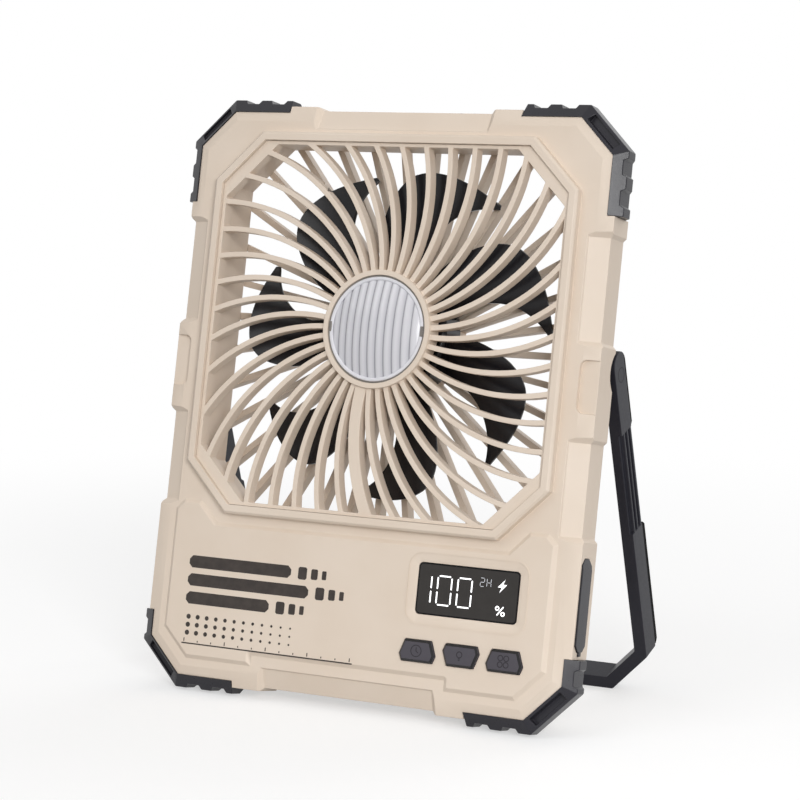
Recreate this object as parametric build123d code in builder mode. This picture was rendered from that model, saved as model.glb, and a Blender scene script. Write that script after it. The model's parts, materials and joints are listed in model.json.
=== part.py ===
from build123d import *

import os
from math import acos, atan2, cos, degrees, hypot, radians, sin, sqrt, tan

# Foldable desk fan: a leaning octagonal body with a fan, a lamp and a battery, and a U-shaped stand.
# Millimetres, +Z up, standing on z = 0 with the middle of its box over the origin. Every piece is drawn
# where it stands. On the body, u runs to the right, v up the front and w out of the front.

os.makedirs("parts", exist_ok=True)

# Flat front of the body, between the corner bumpers
FACE_HALF = 85.0
FACE_HEIGHT = 214.4
FACE_CUT = 13.4
LEAN = 12.5

# Front casing: a band with raised blocks and sloping recesses round its edge
BLOCK_OUT = 2.5
EDGE_IN = 6.0
EDGE_BACK = 1.9
BAND_DEPTH = 15.0
BAND_WALL = 5.0
PLATE = 2.2
RECESS_IN = 6.0
RECESS_STEP = 0.8
RECESS_DROP = 2.9
RECESS_SIDE_OUT = 1.2
SIDE_RECESSES = ((0.3055, 0.4608), (0.6278, 0.8013))
END_RECESS_GAP = 13.0
SCOOP_SPAN = (0.5084, 0.597)
SCOOP_IN = 4.5
SCOOP_DEEP = 2.0
SCOOP_RADIUS = 2.5
SCOOP_CUTTER = 30.0

# Fan opening, its rim and the duct behind it
OPEN_LOW = 65.3
OPEN_TOP = 11.3
OPEN_SIDE = 13.5
OPEN_HALF = FACE_HALF - OPEN_SIDE
OPEN_HALF_HEIGHT = (FACE_HEIGHT - OPEN_TOP - OPEN_LOW) / 2
AXIS_HEIGHT = OPEN_LOW + OPEN_HALF_HEIGHT
OPEN_CUT = 16.7
RIM_WIDTH = 3.4
RIM_RISE = 3.8
RIM_BEVEL = 0.9
SKIRT = 2.0
SKIRT_OVERLAP = 4.5
LEDGE = 1.1
LEDGE_THICK = 1.5

# Raised control panel
PANEL_SIDE = 6.0
PANEL_HALF = FACE_HALF - PANEL_SIDE
PANEL_RISE = 1.3
PANEL_BEVEL = 1.5
PANEL_LOW = 6.4
PANEL_CUT = 10.9
PANEL_JOG_IN = 39.0
PANEL_JOG = 4.0
PANEL_LAP = 0.6
PANEL_HIGH = OPEN_LOW + PANEL_LAP
PANEL_TIP = 3.6
PANEL_SHOULDER_IN = 11.0
PANEL_SHOULDER = PANEL_HALF - PANEL_SHOULDER_IN
PANEL_GAP = 3.6

# Display
DISPLAY_IN = 33.1
DISPLAY_U = PANEL_HALF - DISPLAY_IN
DISPLAY_V = 42.2
DISPLAY_W = 40.2
DISPLAY_H = 18.7
DISPLAY_RADIUS = 1.6
DISPLAY_THICK = 1.8
DISH_MARGIN = 3.6
DISH_DEEP = 0.9
DISH_RADIUS = 5.2

# Buttons
BUTTON_IN = 32.8
BUTTON_U = PANEL_HALF - BUTTON_IN
BUTTON_V = 19.7
BUTTON_PITCH = 17.2
BUTTON_TOP = 10.4
BUTTON_WIDE = 14.2
BUTTON_BASE = 12.2
BUTTON_HALF_HEIGHT = 3.9
BUTTON_WAIST = 1.3
BUTTON_RISE = 1.4
BUTTON_BEVEL = 0.7
BUTTON_TRAVEL = 0.6
BUTTON_FLANGE = 0.8

# Corner bumpers
BUMPER_OUT = 5.0
BUMPER_LIP = 0.5
BUMPER_FRONT = 3.7
BUMPER_BACK = 9.7
BUMPER_DEPTH = 14.0
BUMPER_REAR_OUT = 1.5
BUMPER_FOOT = 37.0
BUMPER_END = FACE_HALF - BUMPER_FOOT
BUMPER_LEG = 34.9
BUMPER_UPPER_LEG = FACE_HEIGHT - BUMPER_LEG
BUMPER_LOWER_LEG = 23.0
BUMPER_SLANT = 0.8
RIB_FIRST = 3.3
RIB_GAP = 6.6
RIB_BETWEEN = 4.4
RIB_DEEP = 1.5
RIB_SLOPE = 0.8
SLOT_LENGTH = 15.0
SLOT_WIDE = 3.0
SLOT_FLOOR = 4.6

# Rear casing and its inlet
REAR_INSET = 2.6
REAR_DEPTH = 11.0
REAR_WALL = 2.0
REAR_BEVEL = 1.6
INLET_FLARE = 8.0
REAR_VANES = 36
REAR_VANE_THICK = 2.3
REAR_VANE_FRONT = 20.2
REAR_VANE_DEPTH = 5.2
REAR_VANE_SWIRL = 4.0
MOTOR_PLATE_RADIUS = 23.0
MOTOR_PLATE_WALL = 2.0
MOTOR_PLATE_RECESS = 2.8
STORE_SIDE = 12.0
STORE_HALF = FACE_HALF - STORE_SIDE
STORE_TOP = 4.3
STORE_HIGH = OPEN_LOW - STORE_TOP
STORE_SLOPE = 4.5
STORE_SLOPE_DEPTH = 5.0

# Front grille and lamp
VANES = 41
VANE_BEND = 72.0
VANE_SWEEP = 70.0
VANE_THICK = 2.0
CHANNEL_THICK = 4.6
CHANNEL_VANE = 31
VANE_START = -13.4
VANE_FRONT = 2.3
VANE_DEPTH = 4.8
BORDER = 1.3
BORDER_CORNER = 4.4
LAMP_RADIUS = 21.9
LAMP_WALL = 2.0
LAMP_FRONT = 3.7
LAMP_DEPTH = 8.1
LAMP_FLOOR = 1.2
LENS_LEDGE = 0.9
LENS_THICK = 2.4
LENS_SINK = 0.6
LENS_FLUTES = 12
LENS_FLUTE_RISE = 0.5
LED_BOARD = 1.2
LEDS = 8
LED_SIZE = 2.8
LED_RISE = 0.8
LED_CIRCLE = 12.5

# Fan rotor: a blade's outline is given as shares of its reach and angles about the axis
BLADES = 7
BLADE_GAP = 6.9
BLADE_REACH = min(OPEN_HALF, OPEN_HALF_HEIGHT) - BLADE_GAP
HUB_RADIUS = 24.0
HUB_FRONT = 5.6
HUB_DEPTH = 12.8
HUB_WALL = 1.8
HUB_EDGE = 1.2
BLADE_ROOT = 23.0
BLADE_ROOT_REAR = 49.5
BLADE_ROOT_FRONT = 15.0
BLADE_BACK = (0.75, 44.5)
BLADE_SHOULDER = (0.955, 34.0)
BLADE_BELLY = (0.995, 23.0)
BLADE_NOSE = (0.993, 12.5)
BLADE_TIP = (0.99, 3.2)
BLADE_POINT = (0.963, 2.4)
BLADE_HOOK = (0.8, 13.9)
BLADE_WAIST = (0.58, 20.4)
BLADE_THICK = 1.5
BLADE_MIDDLE = 27.0
BLADE_CAMBER = 1.2
BLADE_LEAD = 32.0
BLADE_TRAIL = 16.0
SHEET_ROOT = 18.0
SHEET_PAST = 4.2
SHEET_TIP = BLADE_REACH + SHEET_PAST
SHEET_ROOT_DEPTH = 12.0
SHEET_TIP_DEPTH = 10.5
SHEET_ROOT_PITCH = 28.0
SHEET_TIP_PITCH = 12.0

# Motor
MAGNET_WALL = 2.2
MAGNET_DEPTH = 8.5
MAGNET_SINK = 2.0
AIR_GAP = 0.5
STATOR_DEPTH = 7.0
STATOR_MIDDLE = 14.5
STATOR_POLES = 9
STATOR_YOKE = 9.0
POLE_THICK = 3.0
POLE_TIP = 1.6
POLE_SLOT = 1.8
COIL_WALL = 1.4
COIL_INNER = 10.0
COIL_OUTER = 16.5
TUBE_RADIUS = 5.0
TUBE_FRONT = 10.0
BASE_RADIUS = 15.0
BASE_THICK = 1.5
SHAFT_RADIUS = 1.5
SHAFT_END = 21.2
BEARING_RADIUS = 3.4
BEARING_DEPTH = 3.0
BEARING_SINK = 0.4
HUB_BOSS_RADIUS = 4.0
HUB_BOSS_DEPTH = 2.0

# Battery
CELLS = 3
CELL_RADIUS = 9.2
CELL_LENGTH = 65.0
CELL_PITCH = 18.6
CELL_FIRST_V = 14.6
CELL_SIDE = 10.0
CELL_LEFT_U = CELL_SIDE - PANEL_HALF
TRAY_THICK = 1.6
TRAY_END = 2.0
TRAY_RISE = 11.5
CONTACT_THICK = 0.3
CONTACT_SIZE = 8.0

# Control board and ports
BOARD_GAP = 2.0
BOARD_SIDE = 5.0
BOARD_LEFT = CELL_LEFT_U + CELL_LENGTH + BOARD_GAP
BOARD_RIGHT = PANEL_HALF - BOARD_SIDE
BOARD_LOW = 6.5
BOARD_HIGH = 60.0
BOARD_CUT = 5.0
BOARD_FRONT = 6.0
BOARD_THICK = 1.6
BOSS_INSET = 4.0
SWITCH_SIZE = 6.0
SWITCH_RISE = 2.0
PLUNGER_RADIUS = 1.6
PORT_V = 42.1
PORT_LENGTH = 32.8
PORT_WIDE = 8.3
PORT_FRONT = 3.0
PORT_THICK = 1.6
PORT_CUT = 2.2
PORT_TAB = 1.5
PORT_TAB_WIDE = 2.0
PORT_BOARD = 1.3
PORT_BOARD_LENGTH = 32.0
PORT_BOARD_WIDE = 9.6
SOCKET_SINK = 1.0
SOCKET_PITCH = 16.0
SOCKET_WALL = 0.5
SOCKET_BACK = 1.0
SOCKET_TONGUE = 0.8
USB_C = (9.0, 3.3, 1.6)
USB_A = (13.2, 5.8, 0.6)

# Stand
ARM_PROUD = 3.0
ARM_OUT = FACE_HALF + ARM_PROUD
ARM_THICK = 4.8
ARM_DEPTH = 10.7
ARM_LENGTH = 128.7
ARM_PAST = 3.6
PIVOT_V = ARM_LENGTH - ARM_PAST
PIVOT_W = -20.7
ARM_TOP = 8.6
ARM_ROUND = 5.2
STAND_CUT = 15.5
STAND_BEVEL = 1.4
GROOVE_TOP = 22.0
GROOVE_LOW = 61.5
GROOVE_DEEP = 1.2
GROOVE_RIBS = 3
GROOVE_RIB = 1.3
NOTCH_DEEP = 1.6
PIN_RADIUS = 2.5
PIN_IN = 4.0
PIN_OUT = 2.8
WASHER_RADIUS = 5.0

# Casing screws
SCREW_SIDE = 8.5
SCREW_LOW_SIDE = 7.1
SCREW_TOP = 16.5
SCREW_ABOVE = 5.2
SCREW_LOW = 22.0
SCREWS_AT = (
    (FACE_HALF - SCREW_SIDE, FACE_HEIGHT - SCREW_TOP),
    (FACE_HALF - SCREW_SIDE, OPEN_LOW + SCREW_ABOVE),
    (FACE_HALF - SCREW_LOW_SIDE, SCREW_LOW),
)
SCREW_RADIUS = 1.3
SCREW_HEAD = 2.7
SCREW_HEAD_THICK = 2.0
SCREW_SINK = 4.0
SCREW_BITE = 8.0
SCREW_BOSS = 2.6
SCREW_DRIVE = 1.2

# Clearances
FIT = 0.15
SEAT = 0.3
RUN = 0.05
EXTRA = 1.0

# How far a 45 degree corner cut grows as its outline moves out
CUT_GROWTH = 2 - sqrt(2)

# Places worked out from the sizes above
BODY_DEPTH = BAND_DEPTH + REAR_DEPTH
BLOCK_SIDE = FACE_HALF + BLOCK_OUT
PORT_MIDDLE = -PORT_FRONT - PORT_WIDE / 2
CELL_MIDDLE = -BODY_DEPTH + REAR_WALL + TRAY_THICK + SEAT + CELL_RADIUS
tilt = radians(LEAN)
foot_drop = BUMPER_OUT * cos(tilt) + BUMPER_BACK * sin(tilt)
pivot_height = PIVOT_V * cos(tilt) + PIVOT_W * sin(tilt) + foot_drop
pivot_back = PIVOT_V * sin(tilt) - PIVOT_W * cos(tilt)
arm_reach = hypot(ARM_LENGTH, ARM_DEPTH / 2)
arm_slope = atan2(ARM_DEPTH / 2, ARM_LENGTH) + acos(pivot_height / arm_reach)
stand_back = pivot_back + (ARM_LENGTH - STAND_BEVEL) * sin(arm_slope) + ARM_DEPTH / 2 * cos(arm_slope)
lip_back = BUMPER_LIP * cos(tilt)
FACE = Plane(
    origin=(0, -(stand_back + lip_back) / 2, foot_drop), x_dir=(1, 0, 0), z_dir=(0, -cos(tilt), sin(tilt))
)
STAND = Plane(
    origin=FACE.from_local_coords((0, PIVOT_V, PIVOT_W)),
    x_dir=(1, 0, 0),
    z_dir=(0, -cos(arm_slope), -sin(arm_slope)),
)
OUT = Axis(FACE.origin, FACE.z_dir)
FAN_AXIS = Axis(FACE.from_local_coords((0, AXIS_HEIGHT, 0)), FACE.z_dir)

BUTTONS = {
    "button_timer": (BUTTON_U - BUTTON_PITCH, False),
    "button_lamp": (BUTTON_U, True),
    "button_speed": (BUTTON_U + BUTTON_PITCH, False),
}
SOCKETS = {
    "usb_c_socket": (PORT_V + SOCKET_PITCH / 2, USB_C),
    "usb_a_socket": (PORT_V - SOCKET_PITCH / 2, USB_A),
}
SCREWS = [(side * u, v) for u, v in SCREWS_AT for side in (-1, 1)]
BOARD_BOSSES = [
    (BOARD_LEFT + BOSS_INSET, BOARD_LOW + BOSS_INSET),
    (BOARD_LEFT + BOSS_INSET, BOARD_HIGH - BOSS_INSET),
    (BOARD_RIGHT - BOSS_INSET, BOARD_HIGH - BOSS_INSET),
]


def at(w):
    """Plane of u and v, w in front of the flat face."""
    return FACE.offset(w)


def hub(w):
    """Plane of u and v about the fan's axis, w in front of the flat face."""
    return Plane(FACE.from_local_coords((0, AXIS_HEIGHT, w)), x_dir=FACE.x_dir, z_dir=FACE.z_dir)


def along(u):
    """Plane of v and w at u, whose normal points to the right."""
    return Plane(FACE.from_local_coords((u, 0, 0)), x_dir=FACE.y_dir, z_dir=FACE.x_dir)


def spoke(radius, angle):
    """Plane square to a spoke of the fan, of the way round and w, with its normal outwards."""
    outward = FACE.x_dir * cos(radians(angle)) + FACE.y_dir * sin(radians(angle))
    return Plane(hub(0).origin + outward * radius, x_dir=FACE.z_dir.cross(outward), z_dir=outward)


def polar(radius, angle):
    """Point about the fan's axis."""
    return (radius * cos(radians(angle)), radius * sin(radians(angle)))


def octagon(half, low, high, cut, mode=Mode.ADD):
    """Rectangle with its four corners cut at 45 degrees."""
    right = [(half - cut, low), (half, low + cut), (half, high - cut), (half - cut, high)]
    left = [(-u, v) for u, v in reversed(right)]
    Polygon(*right, *left, align=None, mode=mode)


def body_outline(inset, mode=Mode.ADD):
    """The flat front's outline, moved in by the inset."""
    octagon(FACE_HALF - inset, inset, FACE_HEIGHT - inset, FACE_CUT - CUT_GROWTH * inset, mode)


def opening(outset, extra_cut=0.0, mode=Mode.ADD):
    """The fan opening's outline about the fan's axis, moved out by the outset."""
    tall = OPEN_HALF_HEIGHT + outset
    octagon(OPEN_HALF + outset, -tall, tall, OPEN_CUT + CUT_GROWTH * outset + extra_cut, mode)


def button_outline(turned):
    """Six-sided button face, wider low down, or high up where it is turned over."""
    flip = -1 if turned else 1
    half = [
        (BUTTON_TOP / 2, flip * BUTTON_HALF_HEIGHT),
        (BUTTON_WIDE / 2, -flip * BUTTON_WAIST),
        (BUTTON_BASE / 2, -flip * BUTTON_HALF_HEIGHT),
    ]
    Polygon(*half, *[(-u, v) for u, v in reversed(half)], align=None)


def port_outline(grow):
    """Long octagon with a pull tab at its lower end, on a plane of v and w."""
    wide = PORT_WIDE / 2 + grow
    with Locations((PORT_V, PORT_MIDDLE)):
        octagon(PORT_LENGTH / 2 + grow, -wide, wide, PORT_CUT + CUT_GROWTH * grow)
    with Locations((PORT_V - PORT_LENGTH / 2, PORT_MIDDLE)):
        Rectangle(2 * (PORT_TAB + grow), PORT_TAB_WIDE + 2 * grow)


def recess_cutter(outward, middle, length):
    """Two tapered cutters for one sloping recess in the band's edge.

    The first leaves the sloping floor on the front and the second sets the band's side back. Outward
    points out of the body in the plane of the face, and middle is on the recess's inner edge.
    """
    run = RECESS_IN + RECESS_SIDE_OUT
    slope = atan2(RECESS_DROP, run)
    front = FACE.z_dir
    floor = Plane(
        middle - front * RECESS_STEP,
        x_dir=outward * cos(slope) - front * sin(slope),
        z_dir=outward * sin(slope) + front * cos(slope),
    )
    side = Plane(middle + outward * run - front * (RECESS_STEP + RECESS_DROP), x_dir=-front, z_dir=outward)
    with BuildPart() as cutter:
        with BuildSketch(floor):
            Rectangle(2 * run, length, align=(Align.MIN, Align.CENTER))
        extrude(amount=RECESS_IN, taper=-45)
        with BuildSketch(side):
            Rectangle(BAND_DEPTH, length, align=(Align.MIN, Align.CENTER))
        extrude(amount=RECESS_IN, taper=-45)
    return cutter.part


# Front casing
with BuildPart() as front_casing:
    with BuildSketch(at(0)):
        body_outline(EDGE_IN - BLOCK_OUT)
    with BuildSketch(at(-EDGE_BACK)):
        body_outline(-BLOCK_OUT)
    loft(ruled=True)
    with BuildSketch(at(-EDGE_BACK)):
        body_outline(-BLOCK_OUT)
    extrude(amount=EDGE_BACK - BAND_DEPTH)

    # Corners cut back to the flat front's outline, where the bumpers sit
    with BuildSketch(at(EXTRA)):
        body_outline(-BLOCK_OUT - EXTRA)
        body_outline(0, mode=Mode.SUBTRACT)
        Rectangle(2 * BUMPER_END, 3 * FACE_HEIGHT, mode=Mode.SUBTRACT)
        with Locations((0, (BUMPER_LOWER_LEG + BUMPER_UPPER_LEG) / 2)):
            Rectangle(3 * FACE_HALF, BUMPER_UPPER_LEG - BUMPER_LOWER_LEG, mode=Mode.SUBTRACT)
    extrude(amount=-BAND_DEPTH - 2 * EXTRA, mode=Mode.SUBTRACT)

    # Sloping recesses between the raised blocks
    for side in (-1, 1):
        for low, high in SIDE_RECESSES:
            edge = FACE.from_local_coords((side * (FACE_HALF - RECESS_IN), FACE_HEIGHT * (low + high) / 2, 0))
            add(recess_cutter(FACE.x_dir * side, edge, FACE_HEIGHT * (high - low)), mode=Mode.SUBTRACT)
    for edge_v, way in ((RECESS_IN, -1), (FACE_HEIGHT - RECESS_IN, 1)):
        edge = FACE.from_local_coords((0, edge_v, 0))
        add(recess_cutter(FACE.y_dir * way, edge, 2 * (BUMPER_END - END_RECESS_GAP)), mode=Mode.SUBTRACT)

    # Finger scoops in the middle blocks
    scoop_low, scoop_high = (share * FACE_HEIGHT for share in SCOOP_SPAN)
    for side in (-1, 1):
        with BuildSketch(at(EXTRA)):
            with Locations((side * (FACE_HALF - SCOOP_IN + SCOOP_CUTTER / 2), (scoop_low + scoop_high) / 2)):
                RectangleRounded(SCOOP_CUTTER, scoop_high - scoop_low, SCOOP_RADIUS)
        extrude(amount=-SCOOP_DEEP - EXTRA, mode=Mode.SUBTRACT)

    # Rim round the fan opening
    with BuildSketch(hub(0)):
        opening(RIM_WIDTH)
    extrude(amount=RIM_RISE)
    chamfer(front_casing.faces().sort_by(OUT)[-1].edges(), length=RIM_BEVEL)

    # Raised control panel below the rim
    panel_neck = AXIS_HEIGHT - OPEN_HALF_HEIGHT - RIM_WIDTH - PANEL_GAP
    panel_right = [
        (PANEL_HALF - PANEL_JOG_IN, PANEL_LOW + PANEL_JOG),
        (PANEL_HALF - PANEL_JOG_IN, PANEL_LOW),
        (PANEL_HALF - PANEL_CUT, PANEL_LOW),
        (PANEL_HALF, PANEL_LOW + PANEL_CUT),
        (PANEL_HALF, PANEL_HIGH - PANEL_TIP),
        (PANEL_HALF - PANEL_TIP, PANEL_HIGH),
        (PANEL_SHOULDER, PANEL_HIGH),
        (PANEL_SHOULDER - (PANEL_HIGH - panel_neck), panel_neck),
    ]
    with BuildSketch(at(0)):
        Polygon(*panel_right, *[(-u, v) for u, v in reversed(panel_right)], align=None)
    extrude(amount=PANEL_RISE, taper=degrees(atan2(PANEL_BEVEL, PANEL_RISE)))

    # Through opening, the hollow inside, the duct's skirt and the ledge under the grille
    with BuildSketch(hub(RIM_RISE + EXTRA)):
        opening(0)
    extrude(amount=-RIM_RISE - BAND_DEPTH - 2 * EXTRA, mode=Mode.SUBTRACT)
    with BuildSketch(at(-PLATE)):
        body_outline(BAND_WALL)
        with Locations((0, AXIS_HEIGHT)):
            opening(SKIRT, mode=Mode.SUBTRACT)
    extrude(amount=-BAND_DEPTH, mode=Mode.SUBTRACT)
    with BuildSketch(hub(-BAND_DEPTH)):
        opening(SKIRT)
        opening(0, mode=Mode.SUBTRACT)
    extrude(amount=-SKIRT_OVERLAP)
    with BuildSketch(hub(VANE_FRONT - VANE_DEPTH)):
        opening(0)
        opening(-LEDGE, mode=Mode.SUBTRACT)
    extrude(amount=-LEDGE_THICK)

    # Bosses for the casing screws and the control board
    with BuildSketch(at(-PLATE)):
        with Locations(*SCREWS):
            Circle(SCREW_BOSS)
    extrude(amount=PLATE - BAND_DEPTH)
    with BuildSketch(at(-PLATE)):
        with Locations(*BOARD_BOSSES):
            Circle(SCREW_BOSS)
    extrude(amount=PLATE - BOARD_FRONT)
    with BuildSketch(at(-BAND_DEPTH)):
        with Locations(*SCREWS):
            Circle(SCREW_RADIUS + RUN)
    extrude(amount=SCREW_BITE + EXTRA, mode=Mode.SUBTRACT)

    # Dished frame and window of the display
    with BuildSketch(at(PANEL_RISE)):
        with Locations((DISPLAY_U, DISPLAY_V)):
            RectangleRounded(DISPLAY_W + 2 * DISH_MARGIN, DISPLAY_H + 2 * DISH_MARGIN, DISH_RADIUS)
    extrude(amount=-DISH_DEEP, taper=degrees(atan2(DISH_MARGIN, DISH_DEEP)), mode=Mode.SUBTRACT)
    with BuildSketch(at(PANEL_RISE)):
        with Locations((DISPLAY_U, DISPLAY_V)):
            RectangleRounded(DISPLAY_W, DISPLAY_H, DISPLAY_RADIUS)
    extrude(amount=-PANEL_RISE - PLATE - EXTRA, mode=Mode.SUBTRACT)

    # Button holes
    for button_u, turned in BUTTONS.values():
        with BuildSketch(at(PANEL_RISE)):
            with Locations((button_u, BUTTON_V)):
                button_outline(turned)
            offset(amount=FIT, kind=Kind.INTERSECTION)
        extrude(amount=-PANEL_RISE - PLATE - EXTRA, mode=Mode.SUBTRACT)

    # Seat of the port cover and the socket holes behind it
    with BuildSketch(along(BLOCK_SIDE)):
        port_outline(FIT)
    extrude(amount=-PORT_THICK - FIT, mode=Mode.SUBTRACT)
    with BuildSketch(along(BLOCK_SIDE)):
        for socket_v, (socket_long, socket_wide, socket_round) in SOCKETS.values():
            with Locations((socket_v, PORT_MIDDLE)):
                RectangleRounded(socket_long + 2 * FIT, socket_wide + 2 * FIT, socket_round + FIT)
    extrude(amount=-BLOCK_OUT - BAND_WALL - EXTRA, mode=Mode.SUBTRACT)

    # Room for the arms' round ends to turn
    arm_swing = hypot(ARM_TOP - ARM_ROUND, ARM_DEPTH / 2 - ARM_ROUND) + ARM_ROUND + SEAT
    for side in (-1, 1):
        with BuildSketch(along(side * (ARM_OUT - ARM_THICK - SEAT))):
            with Locations((PIVOT_V, PIVOT_W)):
                Circle(arm_swing)
        extrude(amount=side * 2 * ARM_THICK, mode=Mode.SUBTRACT)
front_casing.part.label = "front_casing"
export_step(front_casing.part, "parts/front_casing.step")


def vane(thick):
    """Flat outline of one front vane: an arc that leaves the lamp ring along its radius."""
    with BuildSketch() as band:
        with BuildLine():
            root = LAMP_RADIUS - LAMP_WALL / 2
            outer = CenterArc((root, VANE_BEND), VANE_BEND + thick / 2, -90, VANE_SWEEP)
            inner = CenterArc((root, VANE_BEND), VANE_BEND - thick / 2, -90, VANE_SWEEP)
            Line(outer @ 0, inner @ 0)
            Line(outer @ 1, inner @ 1)
        make_face()
    return band.sketch


# Front grille with the cup of the lamp
lamp_back = LAMP_FRONT - LAMP_DEPTH
lens_seat = LAMP_FRONT - LENS_SINK - LENS_THICK
with BuildPart() as front_grille:
    with BuildSketch(hub(VANE_FRONT)):
        with PolarLocations(0, VANES, start_angle=VANE_START):
            add(vane(VANE_THICK))
        with PolarLocations(0, 1, start_angle=VANE_START + CHANNEL_VANE * 360 / VANES):
            add(vane(CHANNEL_THICK))
        opening(-FIT, mode=Mode.INTERSECT)
    extrude(amount=-VANE_DEPTH)
    with BuildSketch(hub(VANE_FRONT)):
        opening(-FIT)
        opening(-FIT - BORDER, BORDER_CORNER, mode=Mode.SUBTRACT)
    extrude(amount=-VANE_DEPTH)
    with BuildSketch(hub(LAMP_FRONT)):
        Circle(LAMP_RADIUS)
    extrude(amount=-LAMP_DEPTH)
    with BuildSketch(hub(LAMP_FRONT)):
        Circle(LAMP_RADIUS - LAMP_WALL)
    extrude(amount=lens_seat - LAMP_FRONT, mode=Mode.SUBTRACT)
    with BuildSketch(hub(lens_seat)):
        Circle(LAMP_RADIUS - LAMP_WALL - LENS_LEDGE)
    extrude(amount=lamp_back + LAMP_FLOOR - lens_seat, mode=Mode.SUBTRACT)
front_grille.part.label = "front_grille"
export_step(front_grille.part, "parts/front_grille.step")

# Lamp lens, whose front is a row of upright flutes
lens_radius = LAMP_RADIUS - LAMP_WALL - FIT
with BuildPart() as lamp_lens:
    lens_plane = Plane(hub(lens_seat).origin, x_dir=FACE.x_dir, z_dir=-FACE.y_dir)
    flute = 2 * lens_radius / LENS_FLUTES
    valley = LENS_THICK - LENS_FLUTE_RISE
    with BuildSketch(lens_plane):
        with BuildLine():
            for count in range(LENS_FLUTES):
                start = -lens_radius + count * flute
                ThreePointArc((start, valley), (start + flute / 2, LENS_THICK), (start + flute, valley))
            Polyline((lens_radius, valley), (lens_radius, 0), (-lens_radius, 0), (-lens_radius, valley))
        make_face()
    extrude(amount=LAMP_RADIUS, both=True)
    with BuildSketch(hub(lens_seat)):
        Circle(lens_radius)
    extrude(amount=LENS_THICK + EXTRA, mode=Mode.INTERSECT)
lamp_lens.part.label = "lamp_lens"
export_step(lamp_lens.part, "parts/lamp_lens.step")

# Lamp board on the cup's floor, and its lamps
with BuildPart() as lamp_board:
    with BuildSketch(hub(lamp_back + LAMP_FLOOR)):
        Circle(LAMP_RADIUS - LAMP_WALL - LENS_LEDGE - FIT)
    extrude(amount=LED_BOARD)
lamp_board.part.label = "lamp_board"
export_step(lamp_board.part, "parts/lamp_board.step")

with BuildPart() as lamp_leds:
    with BuildSketch(hub(lamp_back + LAMP_FLOOR + LED_BOARD)):
        with PolarLocations(LED_CIRCLE, LEDS):
            Rectangle(LED_SIZE, LED_SIZE)
    extrude(amount=LED_RISE)
lamp_leds.part.label = "lamp_leds"
export_step(lamp_leds.part, "parts/lamp_leds.step")


def store_cutter():
    """Hollow of the compartment behind the panel, with a slope under the inlet's flare."""
    with BuildPart() as store:
        with BuildSketch(along(0)):
            Polygon(
                (store_low, -BAND_DEPTH),
                (STORE_HIGH, -BAND_DEPTH),
                (STORE_HIGH, store_back + STORE_SLOPE_DEPTH),
                (STORE_HIGH - STORE_SLOPE, store_back),
                (store_low, store_back),
                align=None,
            )
        extrude(amount=STORE_HALF, both=True)
        with BuildSketch(at(-BAND_DEPTH)):
            body_outline(store_low)
        extrude(amount=-REAR_DEPTH, mode=Mode.INTERSECT)
    return store.part


# Rear casing with the inlet vanes and the motor plate
store_back = -BODY_DEPTH + REAR_WALL
store_low = REAR_INSET + REAR_WALL
with BuildPart() as rear_casing:
    with BuildSketch(at(-BAND_DEPTH)):
        body_outline(REAR_INSET)
    extrude(amount=-REAR_DEPTH)
    chamfer(rear_casing.faces().sort_by(OUT)[0].edges(), length=REAR_BEVEL)

    # Opening round the skirt, then a flare to the back
    flare_start = BAND_DEPTH + SKIRT_OVERLAP + FIT
    with BuildSketch(hub(-BAND_DEPTH)):
        opening(SKIRT + SEAT)
    extrude(amount=-REAR_DEPTH, mode=Mode.SUBTRACT)
    with BuildSketch(hub(-flare_start)):
        opening(SKIRT + SEAT)
    with BuildSketch(hub(-BODY_DEPTH)):
        opening(INLET_FLARE)
    loft(ruled=True, mode=Mode.SUBTRACT)

    # Straight vanes, set a little aside from the radius, and the motor plate
    with BuildSketch(hub(-REAR_VANE_FRONT)):
        with PolarLocations(0, REAR_VANES):
            with Locations((FACE_HALF / 2 + MOTOR_PLATE_RADIUS - MOTOR_PLATE_WALL, -REAR_VANE_SWIRL)):
                Rectangle(FACE_HALF, REAR_VANE_THICK)
        opening(INLET_FLARE, mode=Mode.INTERSECT)
        Circle(MOTOR_PLATE_RADIUS)
    extrude(amount=-REAR_VANE_DEPTH)
    with BuildSketch(hub(-REAR_VANE_FRONT)):
        Circle(MOTOR_PLATE_RADIUS - MOTOR_PLATE_WALL)
    extrude(amount=-MOTOR_PLATE_RECESS, mode=Mode.SUBTRACT)

    # Compartment for the battery and the boards
    add(store_cutter(), mode=Mode.SUBTRACT)

    # Screw holes with sunk heads, and the pivots' holes
    with BuildSketch(at(-BODY_DEPTH)):
        with Locations(*SCREWS):
            Circle(SCREW_RADIUS + FIT)
    extrude(amount=REAR_DEPTH, mode=Mode.SUBTRACT)
    with BuildSketch(at(-BODY_DEPTH)):
        with Locations(*SCREWS):
            Circle(SCREW_HEAD + FIT)
    extrude(amount=SCREW_SINK, mode=Mode.SUBTRACT)
    for side in (-1, 1):
        with BuildSketch(along(side * (FACE_HALF - REAR_INSET))):
            with Locations((PIVOT_V, PIVOT_W)):
                Circle(PIN_RADIUS + RUN)
        extrude(amount=-side * PIN_IN, mode=Mode.SUBTRACT)
rear_casing.part.label = "rear_casing"
export_step(rear_casing.part, "parts/rear_casing.step")


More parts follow.
